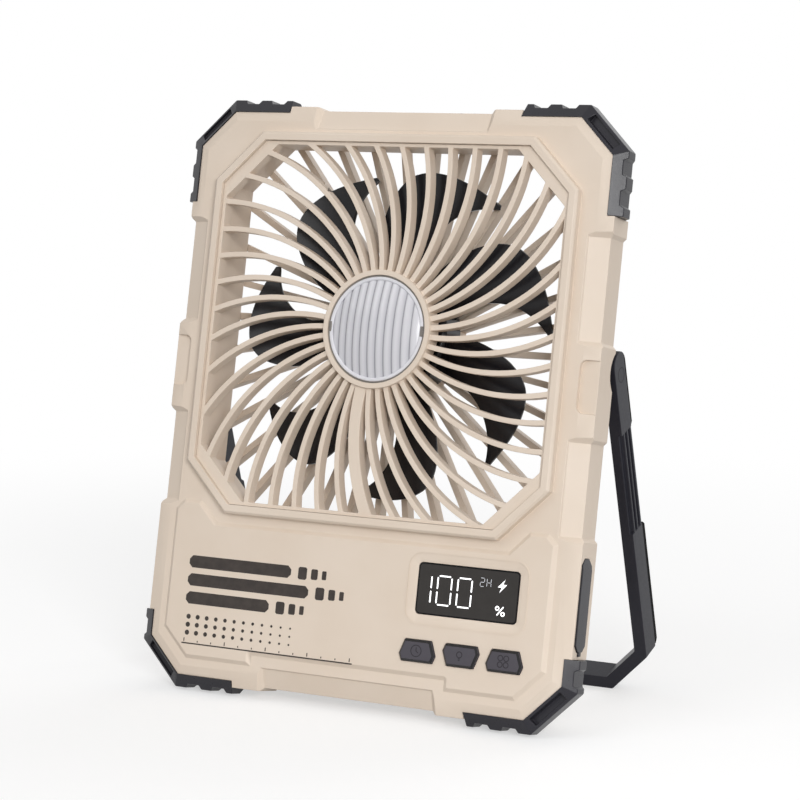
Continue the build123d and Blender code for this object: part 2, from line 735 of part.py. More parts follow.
def bumper(side, top):
    """One corner bumper: a quarter of a bevelled octagonal ring, with ribs and a slot."""
    way = 1 if top else -1
    edge = FACE_HEIGHT if top else 0
    leg = BUMPER_UPPER_LEG if top else BUMPER_LOWER_LEG
    with BuildPart() as ring:
        with BuildSketch(at(-BUMPER_LIP)):
            body_outline(0)
        with BuildSketch(at(-BUMPER_FRONT)):
            body_outline(-BUMPER_OUT)
        loft(ruled=True)
        with BuildSketch(at(-BUMPER_FRONT)):
            body_outline(-BUMPER_OUT)
        extrude(amount=BUMPER_FRONT - BUMPER_BACK)
        with BuildSketch(at(-BUMPER_BACK)):
            body_outline(-BUMPER_OUT)
        with BuildSketch(at(-BUMPER_DEPTH)):
            body_outline(-BUMPER_REAR_OUT)
        loft(ruled=True)
        with BuildSketch(at(0)):
            body_outline(0)
        extrude(amount=-BUMPER_DEPTH, mode=Mode.SUBTRACT)

        # Keep this corner, with a slanted end on the leg across
        far = BUMPER_OUT + EXTRA
        with BuildSketch(at(0)):
            Polygon(
                (side * BUMPER_END, edge),
                (side * FACE_HALF, leg),
                (side * (FACE_HALF + far), leg),
                (side * (FACE_HALF + far), edge + way * far),
                (side * (BUMPER_END + BUMPER_SLANT), edge + way * far),
                align=None,
            )
        extrude(amount=-BUMPER_DEPTH, mode=Mode.INTERSECT)

        # Gaps between the ribs of both legs, and the slot in the corner's bevel
        with BuildSketch(at(0)):
            for count in range(2):
                middle = RIB_FIRST + RIB_GAP / 2 + count * (RIB_GAP + RIB_BETWEEN)
                for u, v, turn in (
                    (side * (BUMPER_END + middle), edge + way * BUMPER_OUT, 90 - way * 90),
                    (side * (FACE_HALF + BUMPER_OUT), leg + way * middle, -side * 90),
                ):
                    with Locations(Location((u, v, 0), (0, 0, turn))):
                        Polygon(
                            (-RIB_GAP / 2, 0),
                            (-RIB_GAP / 2 + RIB_SLOPE, -RIB_DEEP),
                            (RIB_GAP / 2 - RIB_SLOPE, -RIB_DEEP),
                            (RIB_GAP / 2, 0),
                            align=None,
                        )
        extrude(amount=-BUMPER_DEPTH, mode=Mode.SUBTRACT)
        slot_out = BUMPER_OUT / 2 / sqrt(2)
        with BuildSketch(at(0)):
            with Locations((side * (FACE_HALF - FACE_CUT / 2 + slot_out), edge + way * (slot_out - FACE_CUT / 2))):
                Rectangle(SLOT_LENGTH, SLOT_WIDE, rotation=-side * way * 45)
        extrude(amount=-SLOT_FLOOR, mode=Mode.SUBTRACT)
    return ring.part


for name, side, top in (
    ("bumper_top_left", -1, True),
    ("bumper_top_right", 1, True),
    ("bumper_bottom_left", -1, False),
    ("bumper_bottom_right", 1, False),
):
    corner = bumper(side, top)
    corner.label = name
    export_step(corner, f"parts/{name}.step")

# Display window in its frame, and the display module under it on the control board
window_front = PANEL_RISE - DISH_DEEP
with BuildPart() as display_window:
    with BuildSketch(at(window_front)):
        with Locations((DISPLAY_U, DISPLAY_V)):
            RectangleRounded(DISPLAY_W - 2 * FIT, DISPLAY_H - 2 * FIT, DISPLAY_RADIUS - FIT)
    extrude(amount=-DISPLAY_THICK)
display_window.part.label = "display_window"
export_step(display_window.part, "parts/display_window.step")

with BuildPart() as display_module:
    with BuildSketch(at(-BOARD_FRONT)):
        with Locations((DISPLAY_U, DISPLAY_V)):
            RectangleRounded(DISPLAY_W - 2 * SEAT, DISPLAY_H - 2 * SEAT, DISPLAY_RADIUS - SEAT)
    extrude(amount=BOARD_FRONT + window_front - DISPLAY_THICK)
display_module.part.label = "display_module"
export_step(display_module.part, "parts/display_module.step")

# Control board, seated on its bosses
with BuildPart() as control_board:
    with BuildSketch(at(-BOARD_FRONT)):
        Polygon(
            (BOARD_LEFT, BOARD_LOW),
            (BOARD_RIGHT - BOARD_CUT, BOARD_LOW),
            (BOARD_RIGHT, BOARD_LOW + BOARD_CUT),
            (BOARD_RIGHT, BOARD_HIGH),
            (BOARD_LEFT, BOARD_HIGH),
            align=None,
        )
    extrude(amount=-BOARD_THICK)
control_board.part.label = "control_board"
export_step(control_board.part, "parts/control_board.step")

# Buttons: a cap through the panel, on a flange that stops it under the plate
flange_front = -PLATE - RUN
for name, (button_u, turned) in BUTTONS.items():
    with BuildPart() as button:
        with BuildSketch(at(PANEL_RISE + BUTTON_RISE)):
            with Locations((button_u, BUTTON_V)):
                button_outline(turned)
        extrude(amount=flange_front - PANEL_RISE - BUTTON_RISE)
        chamfer(button.faces().sort_by(OUT)[-1].edges(), length=BUTTON_BEVEL)
        with BuildSketch(at(flange_front)):
            with Locations((button_u, BUTTON_V)):
                button_outline(turned)
            offset(amount=BUTTON_FLANGE, kind=Kind.INTERSECTION)
        extrude(amount=-BUTTON_FLANGE)
    button.part.label = name
    export_step(button.part, f"parts/{name}.step")

# Push switches on the board, with their plungers just below the buttons' travel
plunger_top = flange_front - BUTTON_FLANGE - BUTTON_TRAVEL - RUN
with BuildPart() as button_switches:
    with BuildSketch(at(-BOARD_FRONT)):
        for button_u, turned in BUTTONS.values():
            with Locations((button_u, BUTTON_V)):
                Rectangle(SWITCH_SIZE, SWITCH_SIZE)
    extrude(amount=SWITCH_RISE)
    with BuildSketch(at(-BOARD_FRONT)):
        for button_u, turned in BUTTONS.values():
            with Locations((button_u, BUTTON_V)):
                Circle(PLUNGER_RADIUS)
    extrude(amount=BOARD_FRONT + plunger_top)
button_switches.part.label = "button_switches"
export_step(button_switches.part, "parts/button_switches.step")

# Port cover, port board and the two sockets
with BuildPart() as port_cover:
    with BuildSketch(along(BLOCK_SIDE)):
        port_outline(0)
    extrude(amount=-PORT_THICK)
port_cover.part.label = "port_cover"
export_step(port_cover.part, "parts/port_cover.step")

port_board_face = FACE_HALF - BAND_WALL - FIT
with BuildPart() as port_board:
    with BuildSketch(along(port_board_face)):
        with Locations((PORT_V, PORT_MIDDLE)):
            Rectangle(PORT_BOARD_LENGTH, PORT_BOARD_WIDE)
    extrude(amount=-PORT_BOARD)
port_board.part.label = "port_board"
export_step(port_board.part, "parts/port_board.step")

socket_mouth = BLOCK_SIDE - PORT_THICK - FIT - SOCKET_SINK
for name, (socket_v, (socket_long, socket_wide, socket_round)) in SOCKETS.items():
    bore_wide = socket_wide - 2 * SOCKET_WALL
    with BuildPart() as socket:
        with BuildSketch(along(port_board_face)):
            with Locations((socket_v, PORT_MIDDLE)):
                RectangleRounded(socket_long, socket_wide, socket_round)
        extrude(amount=socket_mouth - port_board_face)
        with BuildSketch(along(socket_mouth)):
            with Locations((socket_v, PORT_MIDDLE)):
                RectangleRounded(socket_long - 2 * SOCKET_WALL, bore_wide, max(socket_round - SOCKET_WALL, RUN))
                Rectangle(socket_long - 4 * SOCKET_WALL - EXTRA, SOCKET_TONGUE, mode=Mode.SUBTRACT)
        extrude(amount=port_board_face + SOCKET_BACK - socket_mouth, mode=Mode.SUBTRACT)
    socket.part.label = name
    export_step(socket.part, f"parts/{name}.step")

# Battery cells, their tray and contacts
cell_heights = [CELL_FIRST_V + count * CELL_PITCH for count in range(CELLS)]
with BuildPart() as battery_cells:
    with BuildSketch(along(CELL_LEFT_U)):
        with Locations(*[(v, CELL_MIDDLE) for v in cell_heights]):
            Circle(CELL_RADIUS)
    extrude(amount=CELL_LENGTH)
battery_cells.part.label = "battery_cells"
export_step(battery_cells.part, "parts/battery_cells.step")

tray_left = CELL_LEFT_U - CONTACT_THICK - TRAY_END
tray_length = CELL_LENGTH + 2 * CONTACT_THICK + 2 * TRAY_END
tray_low = BAND_WALL + SEAT
tray_high = STORE_HIGH - STORE_SLOPE - SEAT
with BuildPart() as battery_tray:
    with BuildSketch(at(store_back)):
        with Locations((tray_left, tray_low)):
            Rectangle(tray_length, tray_high - tray_low, align=Align.MIN)
        body_outline(tray_low, mode=Mode.INTERSECT)
    extrude(amount=TRAY_THICK)
    with BuildSketch(at(store_back)):
        with Locations((tray_left, tray_low), (tray_left + tray_length - TRAY_END, tray_low)):
            Rectangle(TRAY_END, tray_high - tray_low, align=Align.MIN)
        body_outline(tray_low, mode=Mode.INTERSECT)
    extrude(amount=TRAY_RISE)
battery_tray.part.label = "battery_tray"
export_step(battery_tray.part, "parts/battery_tray.step")

with BuildPart() as cell_contacts:
    for contact_u in (CELL_LEFT_U - CONTACT_THICK, CELL_LEFT_U + CELL_LENGTH):
        with BuildSketch(along(contact_u)):
            with Locations(*[(v, CELL_MIDDLE) for v in cell_heights]):
                Rectangle(CONTACT_SIZE, CONTACT_SIZE)
        extrude(amount=CONTACT_THICK)
cell_contacts.part.label = "cell_contacts"
export_step(cell_contacts.part, "parts/cell_contacts.step")


def blade_sheet():
    """Twisted, slightly hollow sheet that one blade is cut from, with its leading edge to the back."""
    with BuildPart() as sheet:
        for radius, depth, pitch in (
            (SHEET_ROOT, SHEET_ROOT_DEPTH, SHEET_ROOT_PITCH),
            (SHEET_TIP, SHEET_TIP_DEPTH, SHEET_TIP_PITCH),
        ):
            fall = tan(radians(pitch))
            lead = (-BLADE_LEAD, -BLADE_LEAD * fall - depth)
            trail = (BLADE_TRAIL, BLADE_TRAIL * fall - depth)
            crown = ((lead[0] + trail[0]) / 2, (lead[1] + trail[1]) / 2 + BLADE_CAMBER)
            with BuildSketch(spoke(radius, BLADE_MIDDLE)):
                with BuildLine():
                    ThreePointArc(lead, crown, trail)
                    back = [(t, w - BLADE_THICK) for t, w in (lead, crown, trail)]
                    Line(trail, back[2])
                    ThreePointArc(back[2], back[1], back[0])
                    Line(back[0], lead)
                make_face()
        loft(ruled=True)
    return sheet.part


def blade():
    """One sickle blade, cut from its sheet by its outline seen from the front."""
    with BuildPart() as one:
        with BuildSketch(hub(-HUB_FRONT)):
            with BuildLine():
                root_rear = polar(BLADE_ROOT, BLADE_ROOT_REAR)
                root_front = polar(BLADE_ROOT, BLADE_ROOT_FRONT)
                back, shoulder, belly, nose, tip, point, hook, waist = (
                    polar(share * BLADE_REACH, angle)
                    for share, angle in (
                        BLADE_BACK,
                        BLADE_SHOULDER,
                        BLADE_BELLY,
                        BLADE_NOSE,
                        BLADE_TIP,
                        BLADE_POINT,
                        BLADE_HOOK,
                        BLADE_WAIST,
                    )
                )
                Spline(root_rear, back, shoulder, belly, nose, tip)
                Line(tip, point)
                ThreePointArc(point, hook, waist)
                Line(waist, root_front)
                Line(root_front, root_rear)
            make_face()
        extrude(amount=-HUB_DEPTH)
        add(blade_sheet(), mode=Mode.INTERSECT)
    return one.part


# Fan rotor: a cup that holds the magnet, with the blades round it
hub_back = -HUB_FRONT - HUB_DEPTH
with BuildPart() as fan_rotor:
    with BuildSketch(hub(-HUB_FRONT)):
        Circle(HUB_RADIUS)
    extrude(amount=-HUB_DEPTH)
    chamfer(fan_rotor.faces().sort_by(OUT)[-1].edges(), length=HUB_EDGE)
    one_blade = blade()
    for count in range(BLADES):
        add(one_blade.rotate(FAN_AXIS, count * 360 / BLADES))
    with BuildSketch(hub(hub_back)):
        Circle(HUB_RADIUS - HUB_WALL)
    extrude(amount=HUB_DEPTH - HUB_WALL, mode=Mode.SUBTRACT)
    with BuildSketch(hub(-HUB_FRONT - HUB_WALL)):
        Circle(HUB_BOSS_RADIUS)
    extrude(amount=-HUB_BOSS_DEPTH)
    with BuildSketch(hub(-HUB_FRONT - HUB_WALL - HUB_BOSS_DEPTH)):
        Circle(SHAFT_RADIUS + RUN)
    extrude(amount=HUB_BOSS_DEPTH, mode=Mode.SUBTRACT)
fan_rotor.part.label = "fan_rotor"
export_step(fan_rotor.part, "parts/fan_rotor.step")

# Magnet ring in the cup
magnet_outer = HUB_RADIUS - HUB_WALL - RUN
magnet_inner = HUB_RADIUS - HUB_WALL - MAGNET_WALL
with BuildPart() as rotor_magnet:
    with BuildSketch(hub(-HUB_FRONT - HUB_WALL - MAGNET_SINK)):
        Circle(magnet_outer)
        Circle(magnet_inner, mode=Mode.SUBTRACT)
    extrude(amount=-MAGNET_DEPTH)
rotor_magnet.part.label = "rotor_magnet"
export_step(rotor_magnet.part, "parts/rotor_magnet.step")

# Shaft
with BuildPart() as motor_shaft:
    with BuildSketch(hub(-HUB_FRONT - HUB_WALL)):
        Circle(SHAFT_RADIUS)
    extrude(amount=HUB_FRONT + HUB_WALL - SHAFT_END)
motor_shaft.part.label = "motor_shaft"
export_step(motor_shaft.part, "parts/motor_shaft.step")

# Motor base on its plate, with the bearing tube
base_back = -REAR_VANE_FRONT - MOTOR_PLATE_RECESS
with BuildPart() as motor_base:
    with BuildSketch(hub(base_back)):
        Circle(BASE_RADIUS)
    extrude(amount=BASE_THICK)
    with BuildSketch(hub(base_back)):
        Circle(TUBE_RADIUS)
    extrude(amount=-TUBE_FRONT - base_back)
    with BuildSketch(hub(-TUBE_FRONT)):
        Circle(BEARING_RADIUS + RUN)
    extrude(amount=base_back + BASE_THICK + TUBE_FRONT, mode=Mode.SUBTRACT)
motor_base.part.label = "motor_base"
export_step(motor_base.part, "parts/motor_base.step")

# Bearings at the two ends of the tube
with BuildPart() as motor_bearings:
    for bearing_front in (-TUBE_FRONT - BEARING_SINK, base_back + BASE_THICK + BEARING_SINK + BEARING_DEPTH):
        with BuildSketch(hub(bearing_front)):
            Circle(BEARING_RADIUS)
            Circle(SHAFT_RADIUS + RUN, mode=Mode.SUBTRACT)
        extrude(amount=-BEARING_DEPTH)
motor_bearings.part.label = "motor_bearings"
export_step(motor_bearings.part, "parts/motor_bearings.step")

# Stator on the tube
stator_radius = magnet_inner - AIR_GAP
stator_front = STATOR_DEPTH / 2 - STATOR_MIDDLE
with BuildPart() as motor_stator:
    with BuildSketch(hub(stator_front)):
        Circle(stator_radius)
        Circle(stator_radius - POLE_TIP, mode=Mode.SUBTRACT)
        with PolarLocations(stator_radius, STATOR_POLES, start_angle=180 / STATOR_POLES):
            Rectangle(4 * POLE_TIP, POLE_SLOT, mode=Mode.SUBTRACT)
        with PolarLocations(STATOR_YOKE - EXTRA, STATOR_POLES):
            Rectangle(
                stator_radius - STATOR_YOKE - POLE_TIP + 2 * EXTRA, POLE_THICK, align=(Align.MIN, Align.CENTER)
            )
        Circle(STATOR_YOKE)
        Circle(TUBE_RADIUS + RUN, mode=Mode.SUBTRACT)
    extrude(amount=-STATOR_DEPTH)
motor_stator.part.label = "motor_stator"
export_step(motor_stator.part, "parts/motor_stator.step")

# Coils round the poles
with BuildPart() as motor_coils:
    for count in range(STATOR_POLES):
        with BuildSketch(spoke(COIL_INNER, count * 360 / STATOR_POLES)):
            with Locations((0, -STATOR_MIDDLE)):
                Rectangle(POLE_THICK + 2 * COIL_WALL, STATOR_DEPTH + 2 * COIL_WALL)
                Rectangle(POLE_THICK + 2 * RUN, STATOR_DEPTH + 2 * RUN, mode=Mode.SUBTRACT)
        extrude(amount=COIL_OUTER - COIL_INNER)
motor_coils.part.label = "motor_coils"
export_step(motor_coils.part, "parts/motor_coils.step")


def stand_outline(grow):
    """U outline of the stand seen from its front, moved in by a negative growth and open at the top."""
    half = ARM_OUT + grow
    low = -ARM_LENGTH - grow
    cut = STAND_CUT + CUT_GROWTH * grow
    right = [(half - cut, low), (half, low + cut), (half, ARM_TOP)]
    Polygon(*right, *[(-u, v) for u, v in reversed(right)], align=None)


# Stand: a U-shaped bow with ribbed grooves on its arms
arm_side = Plane(STAND.origin, x_dir=STAND.y_dir, z_dir=STAND.x_dir)
with BuildPart() as stand:
    with BuildSketch(STAND.offset(ARM_DEPTH / 2)):
        stand_outline(0)
    extrude(amount=STAND_BEVEL - ARM_DEPTH)
    with BuildSketch(STAND.offset(STAND_BEVEL - ARM_DEPTH / 2)):
        stand_outline(0)
    with BuildSketch(STAND.offset(-ARM_DEPTH / 2)):
        stand_outline(-STAND_BEVEL)
    loft(ruled=True)
    with BuildSketch(STAND.offset(ARM_DEPTH)):
        stand_outline(-ARM_THICK)
    extrude(amount=-2 * ARM_DEPTH, mode=Mode.SUBTRACT)

    # Round ends about the pivots
    with BuildSketch(arm_side) as arm_profile:
        with Locations((ARM_TOP, 0)):
            Rectangle(2 * ARM_LENGTH, ARM_DEPTH, align=(Align.MAX, Align.CENTER))
        fillet(arm_profile.vertices().sort_by(Axis.X)[-2:], ARM_ROUND)
    extrude(amount=2 * ARM_OUT, both=True, mode=Mode.INTERSECT)

    # Grooves between the ribs on the outer faces, and the notch behind them
    groove_length = GROOVE_LOW - GROOVE_TOP
    groove_middle = -(GROOVE_LOW + GROOVE_TOP) / 2
    rib_pitch = (ARM_DEPTH + GROOVE_RIB) / (GROOVE_RIBS + 1)
    for side in (-1, 1):
        with BuildSketch(arm_side.offset(side * ARM_OUT)):
            with Locations((groove_middle, 0)):
                Rectangle(groove_length, ARM_DEPTH)
                with GridLocations(0, rib_pitch, 1, GROOVE_RIBS):
                    Rectangle(groove_length, GROOVE_RIB, mode=Mode.SUBTRACT)
        extrude(amount=-side * GROOVE_DEEP, mode=Mode.SUBTRACT)
    with BuildSketch(arm_side):
        with Locations((groove_middle, -ARM_DEPTH / 2)):
            Trapezoid(groove_length, 2 * NOTCH_DEEP, 45, align=(Align.CENTER, Align.CENTER))
    extrude(amount=2 * ARM_OUT, both=True, mode=Mode.SUBTRACT)

    # Blind holes for the pins
    with BuildSketch(arm_side):
        Circle(PIN_RADIUS + RUN)
    extrude(amount=ARM_OUT - ARM_THICK + PIN_OUT + SEAT, both=True, mode=Mode.SUBTRACT)
stand.part.label = "stand"
export_step(stand.part, "parts/stand.step")

# Pivot pins, fixed in the rear casing, and the friction washers on them
casing_side = FACE_HALF - REAR_INSET
arm_inner = ARM_OUT - ARM_THICK
for name, side in (("pivot_pin_left", -1), ("pivot_pin_right", 1)):
    with BuildPart() as pin:
        with BuildSketch(along(side * (casing_side - PIN_IN))):
            with Locations((PIVOT_V, PIVOT_W)):
                Circle(PIN_RADIUS)
        extrude(amount=side * (PIN_IN + arm_inner + PIN_OUT - casing_side))
    pin.part.label = name
    export_step(pin.part, f"parts/{name}.step")

with BuildPart() as friction_washers:
    for side in (-1, 1):
        with BuildSketch(along(side * casing_side)):
            with Locations((PIVOT_V, PIVOT_W)):
                Circle(WASHER_RADIUS)
                Circle(PIN_RADIUS + RUN, mode=Mode.SUBTRACT)
        extrude(amount=side * (arm_inner - RUN - casing_side))
friction_washers.part.label = "friction_washers"
export_step(friction_washers.part, "parts/friction_washers.step")

# Casing screws, from the back
screw_seat = SCREW_SINK - BODY_DEPTH
with BuildPart() as casing_screws:
    with BuildSketch(at(screw_seat)):
        with Locations(*SCREWS):
            Circle(SCREW_HEAD)
    extrude(amount=-SCREW_HEAD_THICK)
    with BuildSketch(at(screw_seat)):
        with Locations(*SCREWS):
            Circle(SCREW_RADIUS)
    extrude(amount=SCREW_BITE - BAND_DEPTH - screw_seat)
    with BuildSketch(at(screw_seat - SCREW_HEAD_THICK)):
        with Locations(*SCREWS):
            RegularPolygon(SCREW_DRIVE, 6)
    extrude(amount=SCREW_HEAD_THICK / 2, mode=Mode.SUBTRACT)
casing_screws.part.label = "casing_screws"
export_step(casing_screws.part, "parts/casing_screws.step")
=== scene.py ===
"""Looks of a foldable desk fan: softened mouldings, lit display, printed panel and a pale studio stage."""

from __future__ import annotations

import json
import logging
import math
from dataclasses import dataclass
from enum import Enum
from typing import Any, Iterable, Sequence

import bmesh
import bpy
from mathutils import Matrix, Vector
from mathutils.bvhtree import BVHTree

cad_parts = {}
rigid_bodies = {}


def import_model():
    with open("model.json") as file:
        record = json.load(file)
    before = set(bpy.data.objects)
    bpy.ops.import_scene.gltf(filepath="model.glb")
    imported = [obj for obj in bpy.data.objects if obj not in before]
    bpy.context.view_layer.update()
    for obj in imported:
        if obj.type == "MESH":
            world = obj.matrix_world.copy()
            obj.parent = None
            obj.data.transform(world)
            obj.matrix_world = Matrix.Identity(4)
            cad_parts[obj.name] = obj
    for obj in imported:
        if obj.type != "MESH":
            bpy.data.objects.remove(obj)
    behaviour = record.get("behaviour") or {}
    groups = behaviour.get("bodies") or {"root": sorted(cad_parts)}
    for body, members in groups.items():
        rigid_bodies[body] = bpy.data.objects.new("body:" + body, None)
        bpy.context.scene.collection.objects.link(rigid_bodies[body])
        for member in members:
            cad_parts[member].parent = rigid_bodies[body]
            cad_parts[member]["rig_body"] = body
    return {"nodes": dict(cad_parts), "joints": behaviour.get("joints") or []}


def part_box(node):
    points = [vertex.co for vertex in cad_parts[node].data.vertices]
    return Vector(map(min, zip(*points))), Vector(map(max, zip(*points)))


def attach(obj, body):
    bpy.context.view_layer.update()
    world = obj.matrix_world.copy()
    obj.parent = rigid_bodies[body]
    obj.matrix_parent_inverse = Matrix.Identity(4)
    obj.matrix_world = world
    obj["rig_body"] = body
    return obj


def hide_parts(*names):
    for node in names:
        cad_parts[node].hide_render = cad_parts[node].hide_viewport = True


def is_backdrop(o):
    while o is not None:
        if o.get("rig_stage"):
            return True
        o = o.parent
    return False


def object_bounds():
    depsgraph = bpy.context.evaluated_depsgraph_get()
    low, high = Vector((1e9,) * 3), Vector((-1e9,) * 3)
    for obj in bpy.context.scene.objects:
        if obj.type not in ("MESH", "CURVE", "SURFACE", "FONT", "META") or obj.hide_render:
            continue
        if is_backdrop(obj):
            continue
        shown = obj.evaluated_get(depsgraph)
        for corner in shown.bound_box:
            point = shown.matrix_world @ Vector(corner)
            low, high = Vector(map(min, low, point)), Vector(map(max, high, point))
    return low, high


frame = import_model()
CAD_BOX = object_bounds()

LOG = logging.getLogger("desk_fan")
MM = 0.001
TO_METRES = Matrix.Diagonal((MM, MM, MM, 1.0))
SIDES = (("left", -1), ("right", 1))
WHITE = "#FFFFFF"
# Points of a CAD mesh closer than this are one, and faces that turn by less than this are one flat face
MERGE_MM = 0.002
FLAT_DEG = 0.4
# Neighbouring faces that turn by less than this shade as one
SMOOTH_DEG = 35.0
# A face wider than this isn't a facet of a small curve
BROAD_MM = 1.0
# Least part of a face's normal along the direction that it faces
FACING = 0.9
# Height of the control panel over the front
PANEL_TOP_MM = 1.3
# Octaves of a fine noise
FINE_DETAIL = 2.0

Point = tuple[float, float]
Place = tuple[float, float, float]
Shape = bmesh.types.BMesh
Vert = bmesh.types.BMVert
Face = bmesh.types.BMFace
Socket = bpy.types.NodeSocket
Tree = bpy.types.NodeTree


class Rounding(Enum):
    """How far a moulding's sharp edges are rounded, in millimetres."""

    CRISP = 0.15
    FINE = 0.22
    SMALL = 0.3


class Grain(Enum):
    """How a surface was finished: depth of its grain in millimetres, strength, and spread of roughness."""

    NONE = None
    SATIN = (0.01, 0.4, 0.05)
    SPARK = (0.025, 0.4, 0.07)
    DRAWN = (0.02, 0.3, 0.0)


class Pattern(Enum):
    """What blends a finish's tones: size in millimetres, octaves, and the values that the tones span."""

    # Pigment that drifts slowly across a large moulding, and ink that is thin in places
    DRIFT = (28.0, 3.0, (0.35, 0.68))
    PATCHES = (3.0, 3.0, (0.35, 0.68))
    # Faint haze in clear plastic, and the grain of a diffuser film
    HAZE = (5.0, FINE_DETAIL, (0.3, 0.7))
    FILM = (0.5, FINE_DETAIL, (0.2, 0.5))
    # Lines on drawn steel and on wound copper
    DRAWN = (0.4, FINE_DETAIL, (0.35, 0.65))
    WOUND = (0.5, FINE_DETAIL, (0.35, 0.65))
    # Tracks of a board, and heights of flutes that set the lens's painted shade and highlight, which aren't
    # noise
    TRACKS = (2.2, None, (0.12, 0.2))
    FLUTES = (None, None, (0.02, 0.3, 0.95))


class Segment(Enum):
    """One bar of a seven-bar digit, as the two corners that it joins."""

    TOP = ((0, 2), (1, 2))
    TOP_LEFT = ((0, 1), (0, 2))
    TOP_RIGHT = ((1, 1), (1, 2))
    MIDDLE = ((0, 1), (1, 1))
    LOW_LEFT = ((0, 0), (0, 1))
    LOW_RIGHT = ((1, 0), (1, 1))
    BOTTOM = ((0, 0), (1, 0))


def linear(colour: str) -> tuple[float, float, float, float]:
    """Turn an sRGB hex colour into the linear values that shaders take.

    Args:
        colour: Six hex digits after a hash sign.

    Returns:
        Linear red, green and blue, and an alpha of 1.
    """
    parts = [int(colour[i : i + 2], 16) / 255 for i in (1, 3, 5)]
    red, green, blue = (c / 12.92 if c <= 0.04045 else ((c + 0.055) / 1.055) ** 2.4 for c in parts)
    return red, green, blue, 1.0


def per_mm(size: float) -> float:
    """Texture scale whose features are about size millimetres across, on coordinates in metres."""
    return 1 / (size * MM)


def add_node(
    tree: Tree,
    kind: str,
    inputs: dict[str | int, Any] | None = None,
    links: dict[str | int, Socket] | None = None,
    stops: Iterable[tuple[float, str]] = (),
    **settings: Any,
) -> bpy.types.Node:
    """Add one shader node with its settings and links.

    Args:
        tree: Node tree that gets the node.
        kind: Blender's identifier of the node, after the word ShaderNode.
        inputs: Values for its unlinked input sockets.
        links: Output sockets to join to its input sockets.
        stops: Positions and hex colours of a colour ramp, in rising order.
        settings: Properties of the node itself.

    Returns:
        The new node.
    """
    node = tree.nodes.new(f"ShaderNode{kind}")
    for name, value in settings.items():
        setattr(node, name, value)
    for socket, value in (inputs or {}).items():
        node.inputs[socket].default_value = value
    for socket, source in (links or {}).items():
        tree.links.new(source, node.inputs[socket])
    for index, (position, colour) in enumerate(stops):
        ramp = node.color_ramp.elements
        stop = ramp[index] if index < len(ramp) else ramp.new(position)
        stop.position, stop.color = position, linear(colour)
    return node


def seen(tree: Tree) -> Socket:
    """Tell the rays that come from the eye, off a gloss or through glass from the others.

    Args:
        tree: Node tree that gets the test.

    Returns:
        Socket that is 1 for such rays and 0 for the others.
    """
    rays = add_node(tree, "LightPath").outputs
    surface = {0: rays["Is Camera Ray"], 1: rays["Is Glossy Ray"]}
    either = add_node(tree, "Math", links=surface, operation="MAXIMUM").outputs["Value"]
    through = {0: either, 1: rays["Is Transmission Ray"]}
    return add_node(tree, "Math", links=through, operation="MAXIMUM").outputs["Value"]


def new_material(name: str) -> tuple[bpy.types.Material, Tree]:
    """Make an empty node material.

    Args:
        name: Name of the material.

    Returns:
        The material and its cleared node tree.
    """
    material = bpy.data.materials.new(name)
    material.use_nodes = True
    material.node_tree.nodes.clear()
    return material, material.node_tree


@dataclass(frozen=True)
class Surface:
    """A finish: tones that a pattern blends, a grain in gloss and bump, and what is the same all over."""

    name: str
    tones: tuple[str, ...]
    roughness: float
    grain: Grain = Grain.NONE
    grain_mm: float = 0.8
    pattern: Pattern = Pattern.DRIFT
    stretch: Place = (1.0, 1.0, 1.0)
    ior: float = 1.52
    specular: float = 0.5
    metallic: float = 0.0
    transmission: float = 0.0
    glow: float = 0.0

    def build(self) -> bpy.types.Material:
        """Make the node material.

        Returns:
            The finished material.
        """
        material, tree = new_material(self.name)
        tones = zip(self.pattern.value[-1], self.tones)
        colour = add_node(tree, "ValToRGB", links={"Fac": self.blend(tree)}, stops=tones).outputs["Color"]
        values = {
            "Roughness": self.roughness,
            "IOR": self.ior,
            "Specular IOR Level": self.specular,
            "Metallic": self.metallic,
            "Transmission Weight": self.transmission,
            "Emission Strength": self.glow,
        }
        links = {"Base Color": colour, **self.grained(tree)}
        if self.glow:
            links["Emission Color"] = colour
        shader = add_node(tree, "BsdfPrincipled", values, links)
        add_node(tree, "OutputMaterial", links={"Surface": shader.outputs["BSDF"]})
        return material

    def place(self, tree: Tree) -> dict[str, Socket]:
        """Add the piece's own coordinates, stretched.

        Args:
            tree: Node tree of the material.

        Returns:
            Link for a texture.
        """
        own = add_node(tree, "TexCoord").outputs["Object"]
        along = add_node(tree, "Mapping", {"Scale": self.stretch}, {"Vector": own})
        return {"Vector": along.outputs["Vector"]}

    def blend(self, tree: Tree) -> Socket:
        """Add the noise that blends the tones.

        Args:
            tree: Node tree of the material.

        Returns:
            Its value.
        """
        size, detail, _ = self.pattern.value
        noise = {"Scale": per_mm(size), "Detail": detail}
        return add_node(tree, "TexNoise", noise, self.place(tree)).outputs["Fac"]

    def grained(self, tree: Tree) -> dict[str, Socket]:
        """Let the grain bump the surface and vary its gloss.

        Args:
            tree: Node tree of the material.

        Returns:
            Links for the shader, by the names of its inputs.
        """
        if self.grain is Grain.NONE:
            return {}
        depth, strength, spread = self.grain.value
        # A mould's grain is finer than a pixel, so it is drawn coarser, at grain_mm
        noise = {"Scale": per_mm(self.grain_mm), "Detail": FINE_DETAIL}
        grain = add_node(tree, "TexNoise", noise, self.place(tree)).outputs["Fac"]
        relief = {"Strength": strength, "Distance": depth * MM}
        links = {"Normal": add_node(tree, "Bump", relief, {"Height": grain}).outputs["Normal"]}
        if spread:
            limits = {"To Min": self.roughness - spread, "To Max": self.roughness + spread}
            links["Roughness"] = add_node(tree, "MapRange", limits, {"Value": grain}).outputs["Result"]
        return links


